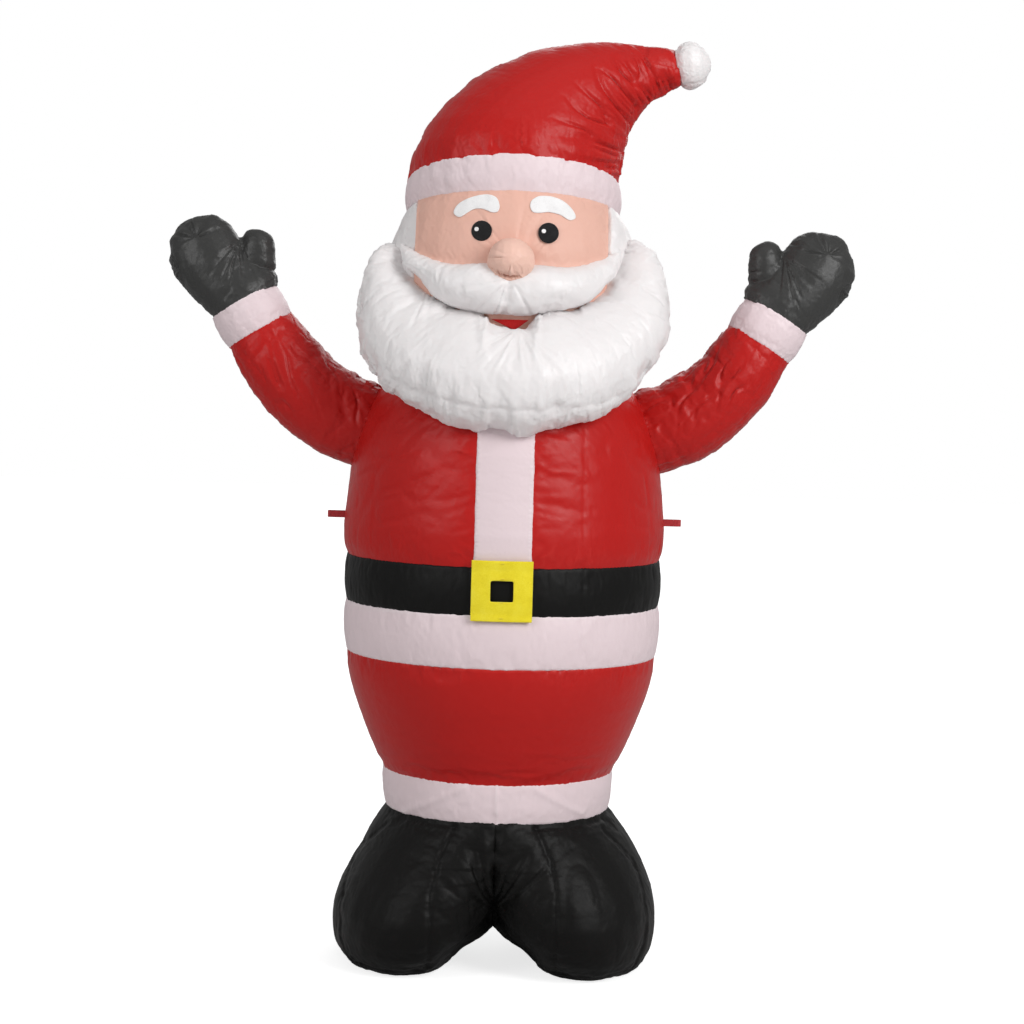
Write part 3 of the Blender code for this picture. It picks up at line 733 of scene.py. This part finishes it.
def fanFolds(points, normals, fan):
    # creases that spread out from a point on the front
    across = points[:, 0] - fan["centre"][0]
    up = points[:, 2] - fan["centre"][1]
    away = np.hypot(across, up)
    towards = math.radians(fan["towards"])
    angle = np.arctan2(up, across) - towards
    angle = np.arctan2(np.sin(angle), np.cos(angle))
    place = np.stack([angle, away * 2.0, np.zeros(len(points))], 1)
    wave = softNoise(place, fan["step"], fan.get("seed", 0) * 3.7, creased=True)
    valley = 1 - np.clip(np.abs(wave) / 0.30, 0, 1)
    near, full, least, most = fan["reach"]
    share = smoothStep(away, near, full) * (1 - smoothStep(away, least, most))
    share *= 1 - smoothStep(np.abs(angle), math.radians(fan["spread"]) * 0.6, math.radians(fan["spread"]))
    share *= smoothStep(-normals[:, 1], 0.0, 0.3)
    return (0.35 * wave - valley) * share * fan["height"]


def movePoints(points, moves):
    # each move: place across and up, shift across and up, radius
    moved = points.copy()
    for x, z, dx, dz, radius in moves:
        share = np.exp(-((points[:, 0] - x) ** 2 + (points[:, 2] - z) ** 2) / radius ** 2)
        moved[:, 0] += dx * share
        moved[:, 2] += dz * share
    return moved


def tuckUnder(points, normals, other, tuck):
    # draws the inner rim of one puffed shape in until it touches the other, as seen from the front
    flat = [Vector((x, 0, z)) for x, _, z in other]
    tree = makeTree(flat)
    spots, reach = nearestOn(tree, points * np.array([1, 0, 1]))
    cx, cz = tuck["centre"]
    sectors = 60
    angle = np.arctan2(spots[:, 2] - cz, spots[:, 0] - cx) + math.pi
    sector = (angle / (2 * math.pi) * sectors).astype(int) % sectors
    shows = normals[:, 1] < -0.1
    gap = np.full(sectors, tuck["most"])
    for index in range(sectors):
        found = reach[shows & (sector == index)]
        if len(found):
            gap[index] = min(tuck["most"], found.min())
    gap = (np.roll(gap, 1) + gap + np.roll(gap, -1)) / 3
    local = gap[sector]
    share = np.exp(-(np.maximum(reach - local, 0) / tuck["radius"]) ** 2)
    low, high = tuck["leave"]
    middle = (low + high) / 2
    share *= smoothStep(np.abs(points[:, 0] - middle), (high - low) / 2, (high - low) / 2 + 0.012)
    amount = np.maximum(local - 0.001, 0) * share
    return points + (spots - points * np.array([1, 0, 1])) * (amount / np.maximum(reach, 1e-6))[:, None]


def seamMask(points, normals, hidden, edges, seam, width):
    kind = seam["kind"]
    shows = ~hidden
    if kind == "edge":
        found = np.zeros(len(points), bool)
        mixed = hidden[edges[:, 0]] != hidden[edges[:, 1]]
        found[edges[mixed].ravel()] = True
        found &= shows
    elif kind == "outline":
        found = shows & (np.abs(normals[:, 1]) < 0.06)
    elif kind == "floor":
        found = shows & (np.abs(points[:, 2] - seam["level"]) < width) & (normals[:, 2] > -0.9)
    else:
        line = np.array(seam["points"], float)
        faces = shows & (normals[:, 1] < -0.05)
        found = np.zeros(len(points), bool)
        for first, last in zip(line[:-1], line[1:]):
            span = last - first
            share = np.clip(((points[:, [0, 2]] - first) @ span) / (span @ span), 0, 1)
            away = np.linalg.norm(points[:, [0, 2]] - first - share[:, None] * span, axis=1)
            found |= faces & (away < width)
    if "towards" in seam:
        towards = np.array(seam["towards"], float)
        found &= normals @ (towards / np.linalg.norm(towards)) > 0.25
    if "low" in seam:
        found &= (points >= np.array(seam["low"], float)).all(1)
    if "high" in seam:
        found &= (points <= np.array(seam["high"], float)).all(1)
    return found


fullCreaseShadeDepth = 0.00030        # a point this far under its neighbours gets the darkest painted crease shade


def detailPanel(panel):
    piece, plan = panel["piece"], panel["plan"]
    coarse = readPoints(piece.data)
    tree = makeTree([Vector(point) for point in coarse])
    subdividePiece(piece)
    mesh = piece.data
    points = readPoints(mesh)
    edges = readEdges(mesh)
    hidden = np.zeros(len(points), bool)
    for index, point in enumerate(points):
        hidden[index] = panel["hidden"][tree.find(point)[1]]
    normals = surfaceNormals(mesh, points, hidden)
    height = np.zeros(len(points))
    for seam in plan.get("seams", ()):
        spots = points[seamMask(points, normals, hidden, edges, seam, 0.0013)]
        if len(spots) < 3:
            print("   no points for a seam of", piece.name, seam["kind"])
            continue
        near, reach = nearestOn(makeTree([Vector(spot) for spot in spots]), points)
        height += pucker(points, near, reach, seam)
    for fold in plan.get("folds", ()):
        height += longFolds(points, fold)
    for fan in plan.get("fans", ()):
        height += fanFolds(points, normals, fan)
    height += plan.get("lift", 0.0)
    height[hidden] *= 0.4
    points = points + normals * height[:, None]
    points[:, 2] = np.maximum(points[:, 2], 0.0)
    writePoints(mesh, points)
    # painted crease shade: positive where a point lies under its neighbours (painted shade), negative on
    # ridges (painted highlight)
    paintedCreaseShade = ((neighbourMean(points, edges) - points) * surfaceNormals(mesh, points, hidden)).sum(1)
    paintedCreaseShade = relax(paintedCreaseShade[:, None], edges, 2)[:, 0]
    paintedCreaseShade = np.clip(paintedCreaseShade / fullCreaseShadeDepth, -1, 1)
    attribute = mesh.attributes.new("fold", "FLOAT", "POINT")
    attribute.data.foreach_set("value", paintedCreaseShade.astype(np.float32))
    mesh.shade_smooth()


def finishPiece(piece, finish, replaced):
    piece.data.materials.clear()
    piece.data.materials.append(finishes[finish])
    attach(piece, "root")
    if replaced:
        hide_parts(*replaced)


# Plans: one for each panel

def edgeSeam(height, reach, spacing, groove=0.0, **more):
    return {"kind": "edge", "height": height, "spacing": spacing, "reach": reach, "groove": groove,
            "rim": 0.009, **more}


def sewnOutline(height, reach, spacing, groove=0.0008, **more):
    return {"kind": "outline", "height": height, "spacing": spacing, "reach": reach, "groove": groove,
            "tied": True, **more}


def sewnLine(points, height, reach, spacing, groove=0.0010, **more):
    return {"kind": "line", "points": points, "height": height, "spacing": spacing, "reach": reach,
            "groove": groove, **more}


def longFold(along, spacing, height, seed, **more):
    return {"along": along, "spacing": spacing, "height": height, "seed": seed, **more}


def fan(centre, towards, spread, step, reach, height, seed):
    # reach: where the creases begin, are full, begin to fade and end
    return {"centre": centre, "towards": towards, "spread": spread, "step": step, "reach": reach,
            "height": height, "seed": seed}


def mirrored(points, side):
    return [(x * side, z) for x, z in points]


sideSeam = [(0.0968, 0.70), (0.0995, 0.545), (0.0998, 0.489), (0.1015, 0.42)]
beardCrease = [(-0.150, 0.768), (-0.1386, 0.755), (-0.1199, 0.7425), (-0.0705, 0.7304), (-0.0091, 0.7235),
               (0.0461, 0.7238), (0.1132, 0.733), (0.1556, 0.7502), (0.1736, 0.7654)]
bootInnerSeam = [(0.053, 0.193), (0.070, 0.157), (0.079, 0.1155), (0.078, 0.068), (0.081, 0.016)]
bootOuterSeam = [(0.137, 0.185), (0.159, 0.163), (0.180, 0.140), (0.192, 0.108), (0.197, 0.074),
                 (0.193, 0.038), (0.181, 0.012)]
bootYoke = [(0.137, 0.1945), (0.095, 0.1945), (0.050, 0.1945)]


def bandPlan(name, finish, **more):
    plan = {"name": name, "finish": finish, "voxel": 0.0046, "turned": True, "grow": 0.022, "lift": 0.0007}
    plan.update(more)
    return plan


def cuffPlan(name):
    return {
        "name": name, "finish": "whiteTaffeta", "voxel": 0.0028, "smooth": 30, "grow": 0.04,
        "lift": 0.0006, "seams": [edgeSeam(0.0010, 0.014, 0.009)],
    }


def armPlan(name, side):
    return {
        "name": name, "finish": "redTaffeta", "voxel": 0.0034, "smooth": 30, "grow": 0.035,
        "seams": [edgeSeam(0.0010, 0.020, 0.011),
                  sewnOutline(0.0024, 0.050, 0.012, towards=(-0.6 * side, 0, 0.8), seed=2),
                  sewnOutline(0.0012, 0.026, 0.016, towards=(0.6 * side, 0, -0.8), seed=3)],
        "folds": [longFold((side, 0, 0.7), 0.018, 0.0008, 4),
                  longFold((-0.5 * side, 0, -0.85), 0.010, 0.0042, 36, stretch=2.4,
                           centre=(0.265 * side, -0.04, 0.757), radius=0.050),
                  longFold((-0.2 * side, 0, -1), 0.010, 0.0032, 37, stretch=3.0,
                           centre=(0.200 * side, -0.05, 0.715), radius=0.045)],
    }


def mittenPlan(name, side):
    return {
        "name": name, "finish": "mittenTaffeta", "voxel": 0.0028, "smooth": 30, "grow": 0.045,
        "moves": [(0.324 * side, 0.905, -0.006 * side, 0, 0.024),
                  (0.317 * side, 0.885, -0.009 * side, 0, 0.017)],
        "seams": [edgeSeam(0.0014, 0.018, 0.011), sewnOutline(0.0026, 0.020, 0.022, seed=5)],
        "fans": [fan((0.4076 * side, 0.930), 90, 125, 0.36, (0.0, 0.006, 0.018, 0.046), 0.0030, 38),
                 fan((0.4280 * side, 0.889), 90 - 110 * side, 110, 0.36, (0.0, 0.006, 0.018, 0.046),
                     0.0030, 39),
                 fan((0.3524 * side, 0.9285), 270 + 15 * side, 55, 0.22, (0.004, 0.012, 0.030, 0.070),
                     0.0022, 40)],
    }


def bootPlan(name, side):
    return {
        "name": name, "finish": "blackTaffeta", "voxel": 0.0042, "smooth": 20, "grow": 0.022,
        "moves": [(0.032 * side, 0.016, 0.012 * side, 0.011, 0.028),
                  (0.165 * side, 0.135, 0.0045 + 0.0015 * side, 0, 0.060)],
        "seams": [edgeSeam(0.0012, 0.020, 0.012),
                  edgeSeam(0.0030, 0.040, 0.012, low=(-0.02, -1, 0.085), high=(0.02, 1, 0.185), seed=26),
                  {"kind": "floor", "level": 0.010, "height": 0.0016, "spacing": 0.016, "reach": 0.018,
                   "groove": 0.0012},
                  sewnLine(mirrored(bootInnerSeam, side), 0.0010, 0.014, 0.009, 0.0015, tied=True, seed=7),
                  sewnLine(mirrored(bootOuterSeam, side), 0.0012, 0.014, 0.012, 0.0014, tied=True, seed=8),
                  sewnLine(mirrored(bootYoke, side), 0.0006, 0.012, 0.010, 0.0014, tied=True, seed=9)],
        "folds": [longFold((0.15 * side, 0, 1), 0.030, 0.0010, 11),
                  longFold((0.08 * side, 0, 1), 0.011, 0.0005, 27, stretch=7)],
        "fans": [fan((-0.004 * side, 0.080), 90 - 22 * side, 40, 0.13, (0.008, 0.030, 0.075, 0.118),
                     0.0034, 28)],
    }


panelPlans = {
    "trouser_band": bandPlan("trouserBandFabric", "whiteTaffeta", seams=[
        edgeSeam(0.0012, 0.020, 0.011),
        sewnLine([(0.0005, 0.2493), (0.0015, 0.200)], 0.0010, 0.016, 0.009, -0.0012, grooveWidth=0.002),
        sewnLine([(-0.040, 0.2460), (-0.118, 0.2020)], 0.0, 0.01, 0.01, -0.0014, grooveWidth=0.004),
        sewnLine([(0.050, 0.2440), (0.110, 0.2080)], 0.0, 0.01, 0.01, -0.0014, grooveWidth=0.004)]),
    "coat_skirt": bandPlan("coatSkirtFabric", "redTaffeta", voxel=0.0050, lift=0.0, seams=[
        edgeSeam(0.0013, 0.024, 0.012)]),
    "hem_band": bandPlan("hemBandFabric", "whiteTaffeta", seams=[
        edgeSeam(0.0013, 0.022, 0.011),
        sewnLine(sideSeam, 0.0007, 0.014, 0.012, 0.0007, seed=12)]),
    "belt": bandPlan("beltFabric", "blackTaffeta", seams=[
        edgeSeam(0.0012, 0.020, 0.011),
        sewnLine(sideSeam, 0.0010, 0.014, 0.012, 0.0007, seed=12)]),
    "coat": bandPlan("coatFabric", "redTaffeta", voxel=0.0048, grow=0.025, lift=0.0, lap=0.1, seams=[
        edgeSeam(0.0016, 0.030, 0.013),
        sewnLine(sideSeam, 0.0005, 0.014, 0.012, 0.0004, seed=12)], folds=[
        longFold((1, 0, 0.35), 0.020, 0.0014, 13, centre=(-0.15, -0.12, 0.66), radius=0.12),
        longFold((1, 0, -0.5), 0.020, 0.0014, 14, centre=(0.15, -0.12, 0.66), radius=0.12)]),
    "placket": bandPlan("placketFabric", "whiteTaffeta", voxel=0.0026, grow=0.02, gain=0.2, lap=0.9,
                        lift=0.0012, seams=[edgeSeam(0.0006, 0.010, 0.009)]),
    "arm_left": armPlan("armFabricLeft", 1),
    "arm_right": armPlan("armFabricRight", -1),
    "cuff_left": cuffPlan("cuffFabricLeft"),
    "cuff_right": cuffPlan("cuffFabricRight"),
    "mitten_left": mittenPlan("mittenFabricLeft", 1),
    "mitten_right": mittenPlan("mittenFabricRight", -1),
    "head": {
        "name": "headFabric", "finish": "hairTaffeta", "voxel": 0.0048, "smooth": 20, "grow": 0.05,
        "moves": [(-0.140, 0.940, 0.005, 0, 0.040)],
        "seams": [edgeSeam(0.0020, 0.028, 0.013)],
    },
    "face": {
        "name": "faceFabric", "finish": "skinTaffeta", "voxel": 0.0030, "smooth": 20, "grow": 0.03,
        "seams": [edgeSeam(0.0007, 0.014, 0.012),
                  edgeSeam(0.0014, 0.040, 0.008, low=(-0.05, -1, 0.895), high=(0.05, 1, 0.96), seed=15)],
        "fans": [fan((0.004, 0.905), 90, 75, 0.16, (0.022, 0.034, 0.060, 0.100), 0.0013, 29)],
    },
    "hat_band": {
        "name": "hatBandFabric", "finish": "whiteTaffeta", "voxel": 0.0036, "smooth": 20, "grow": 0.035,
        "lift": 0.0008, "seams": [edgeSeam(0.0011, 0.018, 0.011)],
    },
    "hat": {
        "name": "hatFabric", "finish": "redTaffeta", "voxel": 0.0036, "smooth": 25, "grow": 0.035,
        "fans": [fan((0.237, 1.034), 148, 68, 0.080, (0.098, 0.114, 0.140, 0.215), 0.0036, 33),
                 fan((0.237, 1.034), 148, 68, 0.045, (0.098, 0.108, 0.120, 0.165), 0.0016, 34)],
        "seams": [edgeSeam(0.0020, 0.034, 0.012),
                  sewnOutline(0.0018, 0.040, 0.010, towards=(0.8, 0, -0.6), seed=16, wander=0.22),
                  sewnOutline(0.0017, 0.024, 0.022, towards=(-0.6, 0, 0.8), seed=17)],
    },
    "pompom": {
        "name": "pompomFabric", "finish": "hairTaffeta", "voxel": 0.0020, "smooth": 20, "grow": 0.08,
        "gain": 1.0, "moves": [(0.232, 1.170, -0.003, 0.002, 0.08)],
        "seams": [edgeSeam(0.0018, 0.022, 0.008), sewnOutline(0.0012, 0.014, 0.010, seed=18)],
    },
    "nose": {
        "name": "noseFabric", "finish": "noseTaffeta", "voxel": 0.0020, "smooth": 20, "grow": 0.05,
        "seams": [edgeSeam(0.0030, 0.018, 0.009, 0.0008, grooveWidth=0.004, rim=0, seed=19)],
        "fans": [fan((0.001, 0.906), 255, 120, 0.34, (0.004, 0.014, 0.030, 0.050), 0.0020, 35)],
    },
    "moustache": {
        "name": "moustacheFabric", "finish": "hairTaffeta", "voxel": 0.0032, "smooth": 20, "grow": 0.035,
        "moves": [(-0.133, 0.8685, 0.014, 0.007, 0.032), (0.128, 0.885, -0.010, 0.001, 0.035)],
        "seams": [edgeSeam(0.0020, 0.022, 0.013, seed=20),
                  sewnLine([(-0.002, 0.880), (-0.006, 0.836)], 0.0016, 0.020, 0.012, 0.004,
                           grooveWidth=0.005, tied=True, seed=21)],
        "folds": [longFold((0.5, 0, 1), 0.030, 0.0020, 22)],
        "fans": [fan((-0.002, 0.884), 270, 100, 0.22, (0.004, 0.020, 0.050, 0.120), 0.0018, 30)],
    },
    "beard": {
        "name": "beardFabric", "finish": "hairTaffeta", "voxel": 0.0038, "smooth": 20, "grow": 0.03,
        "gain": 0.8,
        "moves": [(-0.185, 0.871, 0.008, 0, 0.050), (0.199, 0.838, 0.006, 0, 0.070),
                  (0.165, 0.920, 0.006, 0.012, 0.040)],
        "seams": [edgeSeam(0.0016, 0.030, 0.013, seed=23),
                  sewnOutline(0.0036, 0.036, 0.014, seed=24),
                  sewnLine(beardCrease, 0.0034, 0.040, 0.014, 0.0008, grooveWidth=0.003, tied=True,
                           seed=25)],
        "tuck": {"under": "moustache", "centre": (0.0, 0.925), "most": 0.024, "radius": 0.040,
                 "leave": (-0.020, 0.026)},
        "fans": [fan((0.012, 0.822), 265, 80, 0.15, (0.006, 0.014, 0.035, 0.090), 0.0016, 31),
                 fan((-0.100, 0.872), 215, 70, 0.20, (0.006, 0.014, 0.030, 0.075), 0.0018, 32)],
    },
    "boot_left": bootPlan("bootFabricLeft", 1),
    "boot_right": bootPlan("bootFabricRight", -1),
}

placeCamera(cameraPlan)
placeLights()
placeFloor(floorPlan)

panels = {}
for node, plan in panelPlans.items():
    panels[node] = preparePanel(node, plan)
print("panels remeshed:", sum(len(panel["start"]) for panel in panels.values()), "points")
blowUp(list(panels.values()))
print("panels blown up")
for node, panel in panels.items():
    detailPanel(panel)
    plan = panel["plan"]
    finishPiece(panel["piece"], plan["finish"], [node])
print("panels finished:", sum(len(panel["piece"].data.polygons) for panel in panels.values()), "faces")


# Trims: thin felt shapes that lie on the fabric, and the tape loops

def carrierTree(piece):
    mesh = piece.data
    return BVHTree.FromPolygons([vert.co for vert in mesh.vertices],
                                [list(face.vertices) for face in mesh.polygons])


settlePlan = {"most": 0.006, "rounds": 25, "proud": 0.0006}


def settleOn(piece, fabric, solid):
    # moves a trim by what the blown-up fabric below it has moved
    top, base = carrierTree(fabric), carrierTree(nodes[solid])
    points = readPoints(piece.data)
    shift = np.full(len(points), np.nan)
    for index, point in enumerate(points):
        start = Vector((point[0], point[1] - 0.1, point[2]))
        spot = top.ray_cast(start, Vector((0, 1, 0)))[0]
        under = base.ray_cast(start, Vector((0, 1, 0)))[0]
        if spot is not None and under is not None:
            shift[index] = max(-settlePlan["most"], min(settlePlan["most"], spot.y - under.y))
    shift[np.isnan(shift)] = np.nanmean(shift)
    shift = relax(shift[:, None], readEdges(piece.data), settlePlan["rounds"])[:, 0]
    points[:, 1] += shift - settlePlan["proud"]
    writePoints(piece.data, points)


def smoothOutline(points, steps):
    points = np.array(points)
    before, after, later = (np.roll(points, shift, 0) for shift in (1, -1, -2))
    share = (np.arange(steps) / steps)[:, None, None]
    curve = 0.5 * (2 * points + (after - before) * share
                   + (2 * before - 5 * points + 4 * after - later) * share ** 2
                   + (3 * points - before - 3 * after + later) * share ** 3)
    return curve.transpose(1, 0, 2).reshape(-1, 2)


def feltPatch(name, outline, plan):
    # a flat shape of felt, laid over the fabric below it
    bpy.ops.object.select_all(action="DESELECT")
    bpy.ops.mesh.primitive_circle_add(vertices=len(outline), radius=0.01, fill_type="NGON",
                                      location=(0, 0, 0), rotation=(0, 0, 0))
    piece = bpy.context.object
    piece.name = name
    points = np.zeros((len(outline), 3))
    points[:, 0] = outline[:, 0]
    points[:, 2] = outline[:, 1]
    writePoints(piece.data, points)
    bpy.ops.object.mode_set(mode="EDIT")
    bpy.ops.mesh.select_all(action="SELECT")
    bpy.ops.mesh.extrude_region_move(TRANSFORM_OT_translate={"value": (0, plan["thick"], 0)})
    bpy.ops.mesh.select_all(action="SELECT")
    bpy.ops.mesh.normals_make_consistent(inside=False)
    bpy.ops.object.mode_set(mode="OBJECT")
    remeshPiece(piece, plan["voxel"])
    mesh = piece.data
    points = relax(readPoints(mesh), readEdges(mesh), 3)
    tree = carrierTree(plan["on"])
    fabric = np.zeros(len(points))
    for index, (x, _, z) in enumerate(points):
        spot = tree.ray_cast(Vector((x, -1.0, z)), Vector((0, 1, 0)))[0]
        fabric[index] = spot.y if spot is not None else np.nan
    fabric[np.isnan(fabric)] = np.nanmean(fabric)
    fabric = relax(fabric[:, None], readEdges(mesh), plan.get("stiff", 12))[:, 0]
    points[:, 1] += fabric - plan["thick"] + plan["sunk"]
    writePoints(mesh, points)
    mesh.shade_smooth()
    return piece


browPlan = {
    "thick": 0.0030, "sunk": 0.0010, "voxel": 0.0009,
    "outlines": {
        "brow_left": [(0.0215, 0.9734), (0.0235, 0.9813), (0.0329, 0.9872), (0.0470, 0.9876),
                      (0.0610, 0.9835), (0.0725, 0.9748), (0.0791, 0.9637), (0.0758, 0.9591),
                      (0.0691, 0.9589), (0.0588, 0.9643), (0.0447, 0.9668), (0.0335, 0.9653),
                      (0.0251, 0.9662)],
        "brow_right": [(-0.0691, 0.9591), (-0.0736, 0.9651), (-0.0662, 0.9765), (-0.0484, 0.9849),
                       (-0.0317, 0.9875), (-0.0203, 0.9835), (-0.0160, 0.9734), (-0.0181, 0.9655),
                       (-0.0254, 0.9642), (-0.0367, 0.9684), (-0.0479, 0.9680), (-0.0562, 0.9633),
                       (-0.0634, 0.9586)],
    },
}

trimShifts = {"eye_left": (0.0033, -0.0022), "eye_right": (0.0045, -0.0017)}    # across, up

trimPlans = {
    # node: name, finish, voxel, panel that carries it
    "eye_left": ("eyePatchLeft", "eyeBlack", 0.0006, "face"),
    "eye_right": ("eyePatchRight", "eyeBlack", 0.0006, "face"),
    "mouth": ("mouthPatch", "mouthRed", 0.0006, "face"),
    "buckle": ("buckleFelt", "yellowFelt", 0.0009, "belt"),
    "tether_loop_left": ("tetherTapeLeft", "redTape", 0.0005, None),
    "tether_loop_right": ("tetherTapeRight", "redTape", 0.0005, None),
}

for node, (name, finish, voxel, carrier) in trimPlans.items():
    piece = copySolid(node, name)
    remeshPiece(piece, voxel)
    points = relax(readPoints(piece.data), readEdges(piece.data), 3)
    points[:, [0, 2]] += trimShifts.get(node, (0, 0))
    writePoints(piece.data, points)
    if carrier:
        settleOn(piece, panels[carrier]["piece"], carrier)
    piece.data.shade_smooth()
    finishPiece(piece, finish, [node])
print("trims finished")

facePiece = panels["face"]["piece"]
for node, outline in browPlan["outlines"].items():
    name = "browFeltLeft" if node == "brow_left" else "browFeltRight"
    piece = feltPatch(name, smoothOutline(outline, 5), {**browPlan, "on": facePiece})
    finishPiece(piece, "whiteFelt", [node])


def ovalOutline(x, z, across, up, sides):
    turn = np.arange(sides) / sides * 2 * math.pi
    return np.stack([x + np.cos(turn) * across, z + np.sin(turn) * up], 1)


glintPlan = {
    "thick": 0.0010, "sunk": 0.0003, "voxel": 0.0004, "radius": 0.0028, "sides": 28, "stiff": 4,
    "centres": {"eyeGlintLeft": (0.0394, 0.9428), "eyeGlintRight": (-0.0438, 0.9432)},
}
for name, (x, z) in glintPlan["centres"].items():
    outline = ovalOutline(x, z, glintPlan["radius"], glintPlan["radius"], glintPlan["sides"])
    below = bpy.data.objects["eyePatchLeft" if x > 0 else "eyePatchRight"]
    piece = feltPatch(name, outline, {**glintPlan, "on": below})
    finishPiece(piece, "whiteFelt", [])

tackPlan = {
    "thick": 0.0016, "sunk": 0.0006, "voxel": 0.0004, "long": 0.0026, "high": 0.0008, "sides": 24,
    "stiff": 2, "centres": [(0.0004, 0.5338), (-0.0002, 0.4668), (0.0003, 0.5150), (0.0001, 0.4855)],
}
for count, (x, z) in enumerate(tackPlan["centres"]):
    outline = ovalOutline(x, z, tackPlan["long"], tackPlan["high"], tackPlan["sides"])
    piece = feltPatch("buckleTack" + str(count + 1), outline,
                      {**tackPlan, "on": bpy.data.objects["buckleFelt"]})
    finishPiece(piece, "yellowThread", [])
print("patches finished")
